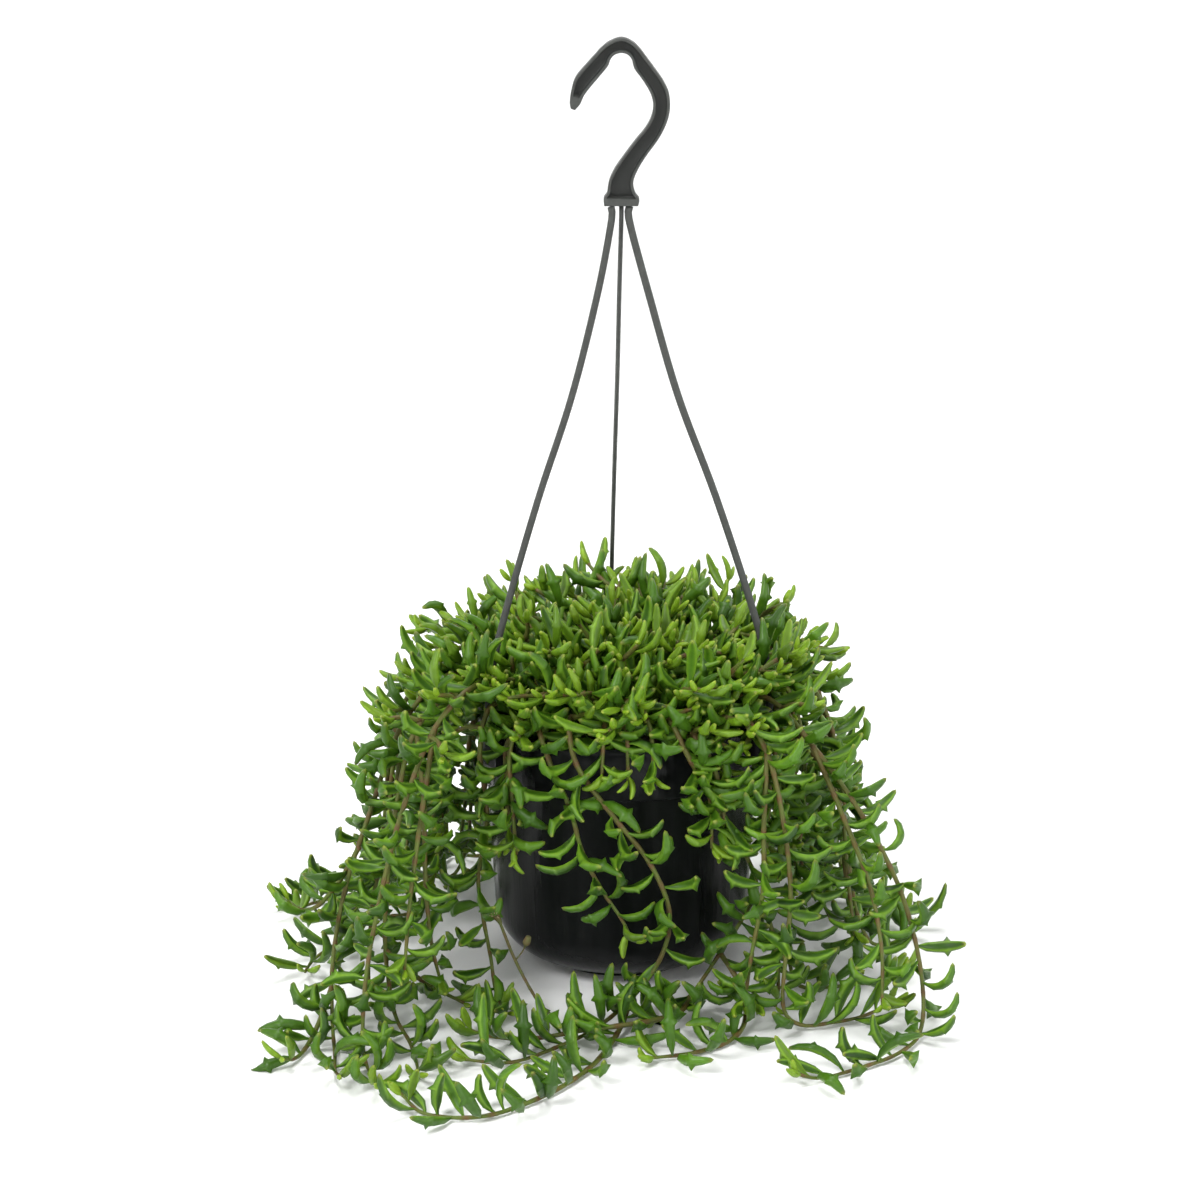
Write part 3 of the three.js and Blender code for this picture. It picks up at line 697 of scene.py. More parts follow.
def crown_shoot(ring, k):
    """A shoot of the crown, its side shoot and those that droop over the rim."""
    seed = ring["root"] + k
    step = 360 / ring["count"]
    azimuth = ring["turn"] + step * k + 0.08 * step * vary(seed, 6)
    lean = ring["lean"] + 5 * vary(seed, 7)
    tip = ring["tip"] + 5 * vary(seed, 8)
    rise = tip - ROOT_Z
    spread = lean - ring["root"]
    fork = polar(ring["root"] + 0.16 * spread, azimuth, ROOT_Z + 0.5 * rise)
    main = (
        polar(ring["root"], azimuth, ROOT_Z),
        fork,
        polar(ring["root"] + 0.55 * spread, azimuth - 0.08 * step, ROOT_Z + 0.84 * rise),
        polar(lean, azimuth - 0.14 * step, tip),
    )
    side = (
        fork,
        polar(ring["root"] + 0.5 * spread, azimuth + 0.24 * step, ROOT_Z + 0.76 * rise),
        polar(lean * 0.97, azimuth + 0.42 * step, tip - 5),
    )
    droops = DROOP.get(k, ()) if ring is CROWN["edge"] else ()
    return main, side, *(droop_shoot(fork, where) for where in droops)


FLOWER_STALK = ((-33, -100, 2.2), (-43, -90, 9), (-54, -80, 26), (-62, -76, 46))


# ------------------------------------------------------------------ leaves and stems


# Stations along a leaf from its stalk to its point: place, half width, half thickness and
# how much of the fin stands there, the last three as shares of a full leaf's sizes.
LEAF_STATIONS = np.array([
    (0.03, 0.24, 0.26, 0.00),
    (0.12, 0.36, 0.40, 0.00),
    (0.27, 0.84, 0.86, 0.00),
    (0.44, 1.00, 1.00, 0.00),
    (0.56, 1.00, 1.00, 0.12),
    (0.61, 0.96, 0.95, 1.00),
    (0.67, 0.90, 0.90, 0.08),
    (0.82, 0.76, 0.76, 0.00),
    (0.95, 0.46, 0.46, 0.00),
])
# Corners round a leaf's section: sideways, over (the hollow side is positive), whether the
# fin grows there, and the ridge mark: 0 in the window, 1 on a ridge.
LEAF_SECTION = np.array([
    (0.00, 0.60, 0, 0.0),
    (-0.78, 0.64, 0, 1.0),
    (-0.94, -0.32, 1, 0.5),
    (0.00, -1.00, 0, 0.45),
    (0.94, -0.32, 1, 0.5),
    (0.78, 0.64, 0, 1.0),
])


def leaf_places(route_length, spacing):
    """Distances of leaves from a shoot's tip: packed at the tip, opening to the full spacing."""
    count = int(route_length / spacing) + 12
    gaps = np.minimum(spacing, 0.0020 * 1.40 ** np.arange(count))
    places = np.cumsum(gaps) - 0.0014
    return places[places < route_length - BARE_ROOT]


def leaf_directions(base, along, turn, youth, draw):
    """Outward and upward directions of leaves.

    Outwards is square to the stem at the leaf's turn, leaning to the tip, kept off the floor
    and off the pot's wall. Upwards is as near +Z as it can be, leaning a little.
    """
    count = len(base)
    steep = np.abs(along[:, 2:]) > 0.9
    across = unit(np.cross(along, np.where(steep, [1.0, 0, 0], UP)))
    over = np.cross(across, along)
    outward = across * np.cos(turn)[:, None] + over * np.sin(turn)[:, None]
    outward[:, 2] = np.maximum(outward[:, 2], -0.15)
    low = base[:, 2] < FLOOR_ZONE
    outward[:, 2] = np.where(low, np.maximum(outward[:, 2], 0.12), outward[:, 2])
    outward = unit(outward + along * (0.3 + 1.5 * youth**2)[:, None])
    radial = unit(base * [1, 1, 0])
    reach = np.hypot(base[:, 0], base[:, 1])
    near = (reach < WALL_ZONE_RADIUS) & (base[:, 2] < WALL_ZONE_TOP)
    inwards = np.minimum(dot(outward, radial) - 0.25, 0) * near[:, None]
    outward = unit(outward - inwards * radial)
    upward = UP + 0.35 * along + 0.5 * draw.normal(size=(count, 3))
    upward = unit(upward - outward * dot(upward, outward))
    return outward, upward


def leaves_on(curve, stations, spacing, sizes, draw, phase):
    """All the leaves of one route as vertex and face arrays, with their facts.

    A leaf's spine is an arc: at share s of its length its heading has turned by bend * s
    from dip below outwards. Its section is an oval with two ridges, set square to the spine,
    and its two fins stand out sideways past the middle.
    """
    from_tip = leaf_places(stations[-1], spacing)
    from_tip = from_tip + draw.uniform(-0.3, 0.3, len(from_tip)) * np.minimum(spacing, from_tip)
    at = stations[-1] - from_tip
    base = np.stack([np.interp(at, stations, curve[:, i]) for i in range(3)], axis=-1)
    heading = unit(np.gradient(curve, axis=0))
    along = unit(np.stack([np.interp(at, stations, heading[:, i]) for i in range(3)], axis=-1))
    count = len(at)
    youth = np.clip(1 - from_tip / sizes.young_length, 0, 1)
    turn = GOLDEN_ANGLE * np.arange(count) + phase + 0.25 * draw.normal(size=count)
    outward, upward = leaf_directions(base, along, turn, youth, draw)
    side = np.cross(outward, upward)

    hanging = np.clip(-along[:, 2] * 1.6, 0, 1)
    on_floor = (base[:, 2] < FLOOR_ZONE).astype(float)
    grown = 1 - 0.72 * youth**1.4
    size = sizes.leaf_length * grown * draw.uniform(0.72, 1.1, count) * (1.14 - 0.14 * hanging)
    fat = np.sqrt(grown) * draw.uniform(0.86, 1.1, count)
    bend = (1.2 + 0.7 * hanging + draw.uniform(-0.5, 0.8, count)) * (1 - 0.5 * youth)
    dip = (0.30 + 0.3 * hanging + 0.25 * draw.normal(size=count)) * (1 - youth) * (1 - on_floor)

    s = np.concatenate([[0.0], LEAF_STATIONS[:, 0], [1.0]])
    angle = bend[:, None] * s - dip[:, None]
    arm = (size / bend)[:, None]
    out = arm * (np.sin(angle) + np.sin(dip)[:, None])
    rise = arm * (np.cos(dip)[:, None] - np.cos(angle))
    spine = (base[:, None] + out[..., None] * outward[:, None]
             + rise[..., None] * upward[:, None])

    middle = slice(1, -1)
    width = LEAF_STATIONS[:, 1] * sizes.leaf_width * fat[:, None]
    thick = LEAF_STATIONS[:, 2] * sizes.leaf_thickness * fat[:, None]
    fin = LEAF_STATIONS[:, 3] * sizes.fin * (fat * (1 - youth))[:, None]
    sideways = (width[..., None] * LEAF_SECTION[:, 0]
                + fin[..., None] * LEAF_SECTION[:, 2] * np.sign(LEAF_SECTION[:, 0]))
    over = thick[..., None] * LEAF_SECTION[:, 1] - 0.4 * fin[..., None] * LEAF_SECTION[:, 2]
    lean_back = -np.sin(angle[:, middle])[..., None, None] * outward[:, None, None]
    lean_up = np.cos(angle[:, middle])[..., None, None] * upward[:, None, None]
    body = (spine[:, middle, None] + sideways[..., None] * side[:, None, None]
            + over[..., None] * (lean_back + lean_up))
    vertices = np.concatenate([body.reshape(count, -1, 3), spine[:, :1], spine[:, -1:]], axis=1)
    vertices[..., 2] = np.maximum(vertices[..., 2], LEAF_LIFT)

    rows, around = len(LEAF_STATIONS), len(LEAF_SECTION)
    quads = ring_faces(rows, around)[:, ::-1]
    step = np.arange(around)
    onward = (step + 1) % around
    top = (rows - 1) * around
    stalk = np.stack([np.full(around, rows * around), step, onward], axis=-1)
    point = np.stack([np.full(around, rows * around + 1), onward + top, step + top], axis=-1)
    shift = (np.arange(count) * (rows * around + 2))[:, None, None]
    faces = (quads + shift).reshape(-1, 4).tolist()
    faces += (np.concatenate([stalk, point]) + shift).reshape(-1, 3).tolist()

    tone = np.clip(draw.normal(0.55, 0.2, count), 0, 1)
    facts = np.empty((count, rows * around + 2, 4))
    facts[..., 0] = tone[:, None]
    facts[..., 1] = np.clip(youth * 0.95, 0, 1)[:, None] ** 1.3
    facts[:, :-2, 2] = np.repeat(LEAF_STATIONS[:, 0], around)
    facts[:, -2:, 2] = (0, 1)
    facts[:, :-2, 3] = np.tile(LEAF_SECTION[:, 3], rows)
    facts[:, -2:, 3] = (0.5, 1.0)
    return vertices.reshape(-1, 3), faces, facts.reshape(-1, 4)


def stem_skin_of(curve, stations, spacing, sizes, draw):
    """A stem's tube: a circle carried along its route, thinner to the tip, swelling at leaves."""
    along_share = stations / stations[-1]
    radius = sizes.stem_radius + (sizes.tip_radius - sizes.stem_radius) * along_share**2
    scar = 0.5 + 0.5 * np.cos(2 * math.pi * stations / (2 * spacing))
    radius = radius * (1 + 0.14 * scar**4)
    rings = tube_rings(curve, radius, radius, STEM_SIDES)
    vertices, faces = closed_loft(rings)
    facts = np.empty((len(vertices), 4))
    facts[:, 0] = draw.uniform(0.2, 0.8)
    facts[:-2, 1] = np.repeat(np.clip(0.45 + 0.8 * along_share, 0, 1), STEM_SIDES)
    facts[:-2, 2] = np.repeat(scar**6, STEM_SIDES)
    facts[-2:, 1:3] = 0.5
    facts[:, 3] = 1
    return vertices, faces, facts


def twigs_on(curve, draw):
    """Short side twigs along the part of a route above the rim: out from the stem, then up.

    Each is three points: its base, base + 0.5 L out and base + L (out + lift up), with out
    square to the stem and turned by the golden angle from the twig before it.
    """
    high = np.flatnonzero(
        (curve[:, 2] > TWIG_HEIGHTS[0]) & (curve[:, 2] < TWIG_HEIGHTS[1])
        & (np.arange(len(curve)) > 3))
    twigs = []
    for number, i in enumerate(high[::TWIG_EVERY]):
        along = curve[i] - curve[i - 1]
        along = along / np.linalg.norm(along)
        across = np.cross(along, UP if abs(along[2]) < 0.9 else np.array([1.0, 0, 0]))
        across = across / np.linalg.norm(across)
        turn = GOLDEN_ANGLE * number + draw.uniform(0, 6.3)
        out = across * math.cos(turn) + np.cross(across, along) * math.sin(turn)
        outwards = curve[i] * [1, 1, 0] / max(np.hypot(*curve[i, :2]), 0.01)
        out = out + 0.5 * outwards + [0, 0, max(0.0, -out[2]) - 0.35 * max(0.0, out[2])]
        out = out / np.linalg.norm(out)
        reach = draw.uniform(0.010, 0.020)
        twigs.append(np.array([curve[i], curve[i] + 0.5 * reach * out,
                               curve[i] + reach * (out + 0.25 * along)]))
    return twigs


def grow(name, routes, spacing, sizes, colours, seed):
    """One grown piece, with all its routes' stems and leaves, in place of its CAD node."""
    draw = np.random.default_rng(SEED * 1000 + seed)
    vertices, faces, facts, materials = [], [], [], []
    total = 0
    curves = [smooth_route(np.array(route) * MM, STEM_STEP) for route in routes]
    twigs = [twig for curve, _ in curves for twig in twigs_on(curve, draw)]
    curves += [smooth_route(twig, STEM_STEP) for twig in twigs]
    for number, (curve, stations) in enumerate(curves):
        parts = (
            (1, stem_skin_of(curve, stations, spacing, sizes, draw)),
            (0, leaves_on(curve, stations, spacing, sizes, draw, seed + 2.1 * number)),
        )
        for index, (part_vertices, part_faces, part_facts) in parts:
            faces += [[corner + total for corner in face] for face in part_faces]
            vertices.append(part_vertices)
            facts.append(part_facts)
            materials += [index] * len(part_faces)
            total += len(part_vertices)
    piece = new_object(f"leafy_{name}", np.concatenate(vertices), faces, leaf_skin(colours))
    piece.data.materials.append(stem_skin(colours))
    piece.data.polygons.foreach_set("material_index", np.array(materials, dtype=np.int32))
    layer = piece.data.attributes.new("leaf_facts", "FLOAT_COLOR", "POINT")
    layer.data.foreach_set("color", np.concatenate(facts).astype(np.float32).ravel())
    return stands_for(piece, "plant", name)


# ------------------------------------------------------------------ pot, soil and hanger


def corner_arc(sizes, radius, count):
    """The rounded lower corner, from its bottom to its side: a quarter circle."""
    angle = np.linspace(0, math.pi / 2, count)
    return np.stack([
        sizes.corner_top_radius - sizes.corner_radius + radius * np.sin(angle),
        sizes.corner_height - radius * np.cos(angle)], axis=-1)


def pot_profile(sizes):
    """The pot's closed outline from the middle of its underside round to the inner floor."""
    band = sizes.rim_height - sizes.band_height
    foot = sizes.foot_radius
    rim = sizes.rim_radius
    inner_foot = foot - sizes.wall - 0.001
    outside = [(0, 0), (foot * 0.5, 0), (foot - 0.0012, 0), (foot - 0.0003, 0.0003),
               (foot, 0.0009), (foot, 0.0029), (foot - 0.0005, 0.0033), (foot - 0.0007, 0.0038)]
    step = [(sizes.shoulder_radius, band - 0.0006), (sizes.shoulder_radius + 0.0004, band),
            (rim - 0.0014, band + 0.0001), (rim - 0.0004, band + 0.0006), (rim, band + 0.0016),
            (rim, sizes.rim_height - 0.0044), (rim + 0.0001, sizes.rim_height - 0.0026),
            (rim - 0.0003, sizes.rim_height - 0.0008), (rim - 0.0012, sizes.rim_height),
            (rim - 0.0020, sizes.rim_height), (rim - 0.0025, sizes.rim_height - 0.0008),
            (rim - 0.0026, band + 0.003), (sizes.shoulder_radius - sizes.wall, band)]
    inside = corner_arc(sizes, sizes.corner_radius - sizes.wall, 12)[::-1]
    return np.array([
        *outside, *corner_arc(sizes, sizes.corner_radius, 14), *step, *inside,
        (inner_foot, sizes.floor), (0, sizes.floor)])


def drill(piece, centres, radius, depth):
    """Round holes cut up through a piece from below."""
    cutters = []
    for x, y in centres:
        bpy.ops.mesh.primitive_cylinder_add(vertices=24, radius=radius, depth=depth,
                                            location=(x, y, 0))
        cutters.append(bpy.context.object)
    for cutter in cutters:
        cut = piece.modifiers.new("drain", "BOOLEAN")
        cut.operation = "DIFFERENCE"
        cut.solver = "EXACT"
        cut.object = cutter
        with bpy.context.temp_override(object=piece, active_object=piece):
            bpy.ops.object.modifier_apply(modifier=cut.name)
        bpy.data.objects.remove(cutter)


def radial_plate(azimuth, outline, low, high):
    """A plate with a flat outline of (radius, sideways) points, standing from low to high."""
    turn = math.radians(azimuth)
    outline = np.array(outline)
    flat = np.stack([
        outline[:, 0] * math.cos(turn) - outline[:, 1] * math.sin(turn),
        outline[:, 0] * math.sin(turn) + outline[:, 1] * math.cos(turn)], axis=-1)
    return np.stack([np.column_stack([flat, np.full(len(flat), z)]) for z in (low, high)])


def lug_mesh(sizes):
    """The three hanger lugs: a square ring round each wire's slot, carried up the band."""
    vertices, faces, total = [], [], 0
    z_low, z_high = 0.119, 0.130
    for azimuth in LUG_AZIMUTHS:
        outer = [(0.0745, -0.0055), (0.0822, -0.0055), (0.0826, -0.0051), (0.0826, 0.0051),
                 (0.0822, 0.0055), (0.0745, 0.0055)]
        inner = [(0.0757, -0.0017), (0.0815, -0.0017), (0.0816, -0.0016), (0.0816, 0.0016),
                 (0.0815, 0.0017), (0.0757, 0.0017)]
        rings = np.concatenate([
            radial_plate(azimuth, outer, z_low, z_high),
            radial_plate(azimuth, inner, z_low, z_high)[::-1]])
        around = len(outer)
        vertices.append(rings.reshape(-1, 3))
        wrap = ring_faces(len(rings) + 1, around, total)
        last = total + len(rings) * around
        wrap = np.where(wrap >= last, wrap - len(rings) * around, wrap)
        faces += wrap.tolist()
        total += len(rings) * around
    return np.concatenate(vertices), faces


# The hook's two edges above its collar, from the collar round to its tip, in millimetres:
# x and z of the outer edge, then x and z of the inner edge across from it.
HOOK_EDGES = np.array([
    (8.3, 0, -8.6, 0), (8.8, 3.2, -8.8, 3.6), (6.9, 6, -7.2, 6.2), (5.9, 9.5, -6.7, 9.5),
    (6.2, 13.5, -5.8, 13.2), (8.6, 19, -3.4, 18.2), (12.6, 25.4, 0.6, 24), (18, 32.8, 6.6, 32),
    (21.8, 40, 12.6, 39.6), (23.7, 47, 15.4, 47), (23.4, 54.9, 14.8, 54),
    (20.5, 61.4, 11.2, 60.8), (15.5, 68.5, 6.8, 66.8), (11.8, 73.4, 5.7, 69.4),
    (9.2, 76.8, 5, 72), (5.4, 80.4, 3.1, 74.3), (0, 82.4, 0, 75.2), (-5.8, 80.6, -3.3, 74.3),
    (-10, 77.4, -5.4, 72), (-13, 74.2, -6.6, 69), (-17, 69.8, -10.2, 64.5),
    (-22.4, 63.4, -15.6, 58.2), (-24.6, 57, -18.4, 54.4), (-25.4, 51.5, -20.3, 50.3),
    (-25, 48.2, -22.8, 47.4),
])


def hook_rings(sizes):
    """The hook as a channel section carried between its two edges, and the mark of its pockets for
    painted shade.

    At each station the section is a rectangle with rounded corners as wide as the edges are
    apart: middle + a (outer - inner) / 2 + d Y. Its front and back each have a pocket, whose
    floor stands at half the web's thickness, and which fades out at both ends.
    """
    edges = through(HOOK_EDGES, 8) * MM
    outer, inner = edges[:, :2], edges[:, 2:]
    half = np.linalg.norm(outer - inner, axis=1) / 2
    place = (outer + inner) / 2
    middle = np.column_stack([place[:, 0], np.zeros(len(place)), place[:, 1]])
    flat = unit(outer - inner)
    sideways = np.column_stack([flat[:, 0], np.zeros(len(flat)), flat[:, 1]])
    station = np.linspace(0, 1, len(edges))
    pocket = np.clip((station - 0.045) / 0.012, 0, 1) * np.clip((0.935 - station) / 0.015, 0, 1)
    front = sizes.hook_depth / 2
    sunk = front - (front - sizes.hook_web / 2) * pocket
    soft = 0.0006
    lip = np.minimum(sizes.hook_lip, half * 0.5)
    full = np.full_like(half, front)
    # Each corner: across, depth, and 1 where it lies on a pocket's floor, which gets painted shade.
    quarter = [
        (half, full - soft, 0), (half - 0.3 * soft, full - 0.3 * soft, 0), (half - soft, full, 0),
        (half - lip + 0.0002, full, 0), (half - lip, full - 0.0002 * pocket, 0),
        (half - lip - 0.0001, sunk + 0.0004 * pocket, 1), (half - lip - 0.0005, sunk, 1),
    ]
    mirrored = [(-across, depth, mark) for across, depth, mark in quarter[::-1]]
    near = quarter + mirrored
    far = [(across, -depth, mark) for across, depth, mark in near[::-1]]
    section = near + far
    across = np.stack([a for a, _, _ in section], axis=-1)[..., None]
    depth = np.stack([d for _, d, _ in section], axis=-1)[..., None]
    rings = middle[:, None] + across * sideways[:, None] + depth * np.array([0, 1.0, 0])
    rings[..., 2] = np.maximum(rings[..., 2], 0) + COLLAR_Z
    # Mark for the painted shade in the hook's pockets: 1 on a pocket's floor, fading at its ends.
    pocket_shade_mark = pocket[:, None] * np.array([mark for _, _, mark in section])
    return rings, pocket_shade_mark


WIRE_RUN = ((15, 354), (31, 304), (51.5, 255), (70, 205), (80, 173), (83, 151), (80.8, 140),
            (79, 132), (78.7, 123), (78.7, 114))


def wire_rings(start, azimuth, sizes, around):
    """A wire's ovals along its route from the collar to its lug, in metres.

    The route lies in the upright plane at the azimuth, and so does the oval's wide side:
    centre + w cos(t) n + h sin(t) b, with n in the plane, square to the route, and b across.
    """
    top = COLLAR_Z / MM - 0.3
    run = np.array([(start, top), (start, top - 8), *WIRE_RUN]) * MM
    curve, _ = smooth_route(np.column_stack([run[:, 0], np.zeros(len(run)), run[:, 1]]), 0.003)
    turn = math.radians(azimuth)
    outwards = np.array([math.cos(turn), math.sin(turn), 0])
    across = np.array([math.sin(turn), -math.cos(turn), 0])
    along = unit(np.gradient(curve, axis=0))
    normal = -along[:, 2:] * outwards + along[:, :1] * UP
    centre = curve[:, :1] * outwards + curve[:, 2:] * UP
    angle = np.linspace(0, 2 * math.pi, around, endpoint=False)[None, :, None]
    return (centre[:, None] + sizes.wire_width / 2 * np.cos(angle) * normal[:, None]
            + sizes.wire_thickness / 2 * np.sin(angle) * across)


def barb(azimuth, around):
    """The barb at a wire's lower end, under its lug: an oval swelling, flat on top."""
    middle = WIRE_RUN[-1][0] * MM
    heights = np.array([0.1120, 0.1124, 0.1140, 0.1165, 0.1180, 0.1184])
    wide = np.array([0.0018, 0.0026, 0.0034, 0.0040, 0.0040, 0.0036])
    deep = np.array([0.0009, 0.0012, 0.0014, 0.0015, 0.0015, 0.0013])
    angle = np.linspace(0, 2 * math.pi, around, endpoint=False)
    radial = middle + deep[:, None] * np.cos(angle)
    sideways = wide[:, None] * np.sin(angle)
    turn = math.radians(azimuth)
    return np.stack([
        radial * math.cos(turn) - sideways * math.sin(turn),
        radial * math.sin(turn) + sideways * math.cos(turn),
        np.repeat(heights[:, None], around, axis=1)], axis=-1)


def joined(*parts):
    """Vertex and face arrays of several closed skins as one."""
    vertices, faces, total = [], [], 0
    for part_vertices, part_faces in parts:
        vertices.append(part_vertices)
        faces += [[corner + total for corner in face] for face in part_faces]
        total += len(part_vertices)
    return np.concatenate(vertices), faces


# ------------------------------------------------------------------ operators


def area_light(name, place, target, size, power):
    """A soft square light turned to face a point."""
    lamp = bpy.data.lights.new(name, "AREA")
    lamp.shape = "RECTANGLE"
    lamp.size, lamp.size_y = size
    lamp.energy = power
    holder = bpy.data.objects.new(name, lamp)
    bpy.context.scene.collection.objects.link(holder)
    direction = np.array(target, dtype=float) - np.array(place, dtype=float)
    flat = math.hypot(direction[0], direction[1])
    holder.rotation_euler = (math.atan2(flat, -direction[2]), 0,
                             math.atan2(direction[1], direction[0]) - math.pi / 2)
    holder.location = place


class DOLPHINPOT_OT_stage(bpy.types.Operator):
    """Adds the camera, the soft lights and the pale floor that curves up all round"""

    bl_idname = "dolphinpot.stage"
    bl_label = "Stage"
    bl_options = {"REGISTER", "UNDO"}

    camera_distance = 1.5
    camera_height = 0.6575
    camera_pitch = 17.22
    lens = 91.2
    lens_shift = -21.5 / 1200
    paper_flat = 1.6
    paper_rise = 1.2
    paper_top = 1.7
    paper_sides = 96

    def execute(self, context):
        """Makes the stage; its floor is a profile turned about Z: flat, then an arc upwards."""
        colours = context.scene.dolphin_colours
        scene = context.scene
        eye = bpy.data.cameras.new("camera")
        eye.lens = self.lens
        eye.sensor_width = 36
        eye.shift_x = self.lens_shift
        eye.clip_end = 50
        camera = bpy.data.objects.new("camera", eye)
        camera.location = (0, -self.camera_distance, self.camera_height)
        camera.rotation_euler = (math.radians(90 - self.camera_pitch), 0, 0)
        scene.collection.objects.link(camera)
        scene.camera = camera
        scene.view_settings.view_transform = "Standard"
        scene.view_settings.look = "None"

        bend = np.linspace(0, math.pi / 2, 24)
        radius = np.concatenate([
            [0.02, self.paper_flat / 2], self.paper_flat + self.paper_rise * np.sin(bend),
            [self.paper_flat + self.paper_rise]])
        height = np.concatenate([
            [0.0, 0.0], self.paper_rise * (1 - np.cos(bend)), [self.paper_top]])
        turn = np.linspace(0, 2 * math.pi, self.paper_sides, endpoint=False)
        rings = np.stack([
            radius[:, None] * np.cos(turn), radius[:, None] * np.sin(turn),
            np.repeat(height[:, None], len(turn), axis=1)], axis=-1)
        vertices = np.concatenate([rings.reshape(-1, 3), [(0, 0, 0)]])
        step = np.arange(self.paper_sides)
        hub = np.stack([np.full_like(step, len(vertices) - 1), step,
                        (step + 1) % self.paper_sides], axis=-1)
        faces = ring_faces(len(radius), len(turn))[:, ::-1].tolist() + hub.tolist()
        floor = new_object("floor", vertices, faces, stage_paper(colours))

        area_light("key", (-1.3, -1.6, 2.1), (0, 0, 0.15), (0.9, 0.9), 58)
        area_light("fill", (1.7, -1.3, 1.0), (0, 0, 0.1), (0.7, 1.5), 19)
        area_light("top", (0.1, 0.5, 2.3), (0, 0, 0.1), (1.3, 1.3), 40)
        world = bpy.data.worlds.new("daylight")
        world.use_nodes = True
        sky = world.node_tree.nodes["Background"]
        sky.inputs["Color"].default_value = (1, 1, 1, 1)
        sky.inputs["Strength"].default_value = 0.34
        scene.world = world
        return {"FINISHED"}


class DOLPHINPOT_OT_pot(bpy.types.Operator):
    """Adds the pot: a turned shell with a rim band, a rounded corner, a foot and drain holes"""

    bl_idname = "dolphinpot.pot"
    bl_label = "Pot"
    bl_options = {"REGISTER", "UNDO"}

    drain_radius = 0.0035
    drain_circle = 0.027
    drain_count = 6

    def execute(self, context):
        """Turns the shell, drills it and adds the three lugs."""
        sizes, colours = context.scene.dolphin_pot, context.scene.dolphin_colours
        vertices, faces = turned(pot_profile(sizes), 144)
        shell = new_object("pot_shell", vertices, faces, pot_plastic(colours))
        turns = np.arange(self.drain_count) * 2 * math.pi / self.drain_count
        centres = self.drain_circle * np.stack([np.cos(turns), np.sin(turns)], axis=-1)
        drill(shell, centres, self.drain_radius, 0.012)
        stands_for(shell, "pot_plastic", "pot")
        lugs = new_object("pot_lugs", *lug_mesh(sizes), pot_plastic(colours), smooth=False)
        edge = lugs.modifiers.new("soft edges", "BEVEL")
        edge.width = 0.0004
        edge.segments = 2
        stands_for(lugs, "pot_plastic", "pot")
        return {"FINISHED"}


class DOLPHINPOT_OT_soil(bpy.types.Operator):
    """Adds the soil: a plug that fits the pot, with a crumbly top"""

    bl_idname = "dolphinpot.soil"
    bl_label = "Soil"
    bl_options = {"REGISTER", "UNDO"}

    waves = ((420, 0.3), (610, 1.9), (930, 2.8), (1400, 0.9), (2100, 4.1))

    def execute(self, context):
        """Turns the plug's outline and lifts its top by summed waves."""
        sizes, colours = context.scene.dolphin_pot, context.scene.dolphin_colours
        gap = sizes.wall + 0.0004
        side = corner_arc(sizes, sizes.corner_radius - gap, 8)
        top = np.linspace(0.0665, 0.0008, 60)
        outline = np.concatenate([
            [(0, sizes.floor + 0.0003), (sizes.foot_radius - 0.0031, sizes.floor + 0.0003)],
            side, [(0.0675, SOIL_TOP - 0.0016)],
            np.column_stack([top, np.full(len(top), SOIL_TOP)]), [(0, SOIL_TOP)]])
        vertices, faces = turned(outline, 120)
        x, y, z = vertices.T
        on_top = z > SOIL_TOP - 0.0004
        crumbs = sum(
            np.sin(x * f * math.cos(a) + y * f * math.sin(a) + 3 * a) / (1 + n)
            for n, (f, a) in enumerate(self.waves))
        vertices[:, 2] += np.where(on_top, 0.0005 * crumbs - 0.0012, 0)
        plug = new_object("soil_plug", vertices, faces, soil_crumb(colours))
        stands_for(plug, "potting_soil", "soil")
        return {"FINISHED"}


class DOLPHINPOT_OT_hook(bpy.types.Operator):
    """Adds the hanger's hook: a moulded channel with a pocket on each side"""

    bl_idname = "dolphinpot.hook"
    bl_label = "Hook"
    bl_options = {"REGISTER", "UNDO"}

    def execute(self, context):
        """Lofts the hook's rings and softens its edges."""
        sizes, colours = context.scene.dolphin_pot, context.scene.dolphin_colours
        rings, sunk = hook_rings(sizes)
        hook = new_object("hook", *closed_loft(rings), hanger_plastic(colours))
        bm = bmesh.new()
        bm.from_mesh(hook.data)
        bmesh.ops.recalc_face_normals(bm, faces=bm.faces)
        bm.to_mesh(hook.data)
        bm.free()
        hook.data.polygons.foreach_set("use_smooth", np.ones(len(hook.data.polygons), dtype=bool))
        # Painted shade: the pockets' mark, read by the hanger's material to darken the pockets.
        mark = hook.data.attributes.new("sunk", "FLOAT", "POINT")
        mark.data.foreach_set("value", np.append(sunk.ravel(), [0, 0]).astype(np.float32))
        stands_for(hook, "hanger_plastic", "hanger_hook")
        return {"FINISHED"}


class DOLPHINPOT_OT_wires(bpy.types.Operator):
    """Adds the hanger's three oval wires with the barbs that hold them in the lugs"""

    bl_idname = "dolphinpot.wires"
    bl_label = "Wires"
    bl_options = {"REGISTER", "UNDO"}

    starts = {"back": (1.8, 0), "left": (6.4, 1), "right": (4.4, 2)}

    def execute(self, context):
        """Carries an oval along each wire's route and joins its barb."""
        sizes, colours = context.scene.dolphin_pot, context.scene.dolphin_colours
        for side, (start, lug) in self.starts.items():
            azimuth = LUG_AZIMUTHS[lug]
            rings = wire_rings(start, azimuth, sizes, 14)
            parts = closed_loft(rings), closed_loft(barb(azimuth, 20))
            wire = new_object(f"wire_{side}", *joined(*parts), hanger_plastic(colours))
            stands_for(wire, "hanger_plastic", f"hanger_wire_{side}")
        return {"FINISHED"}


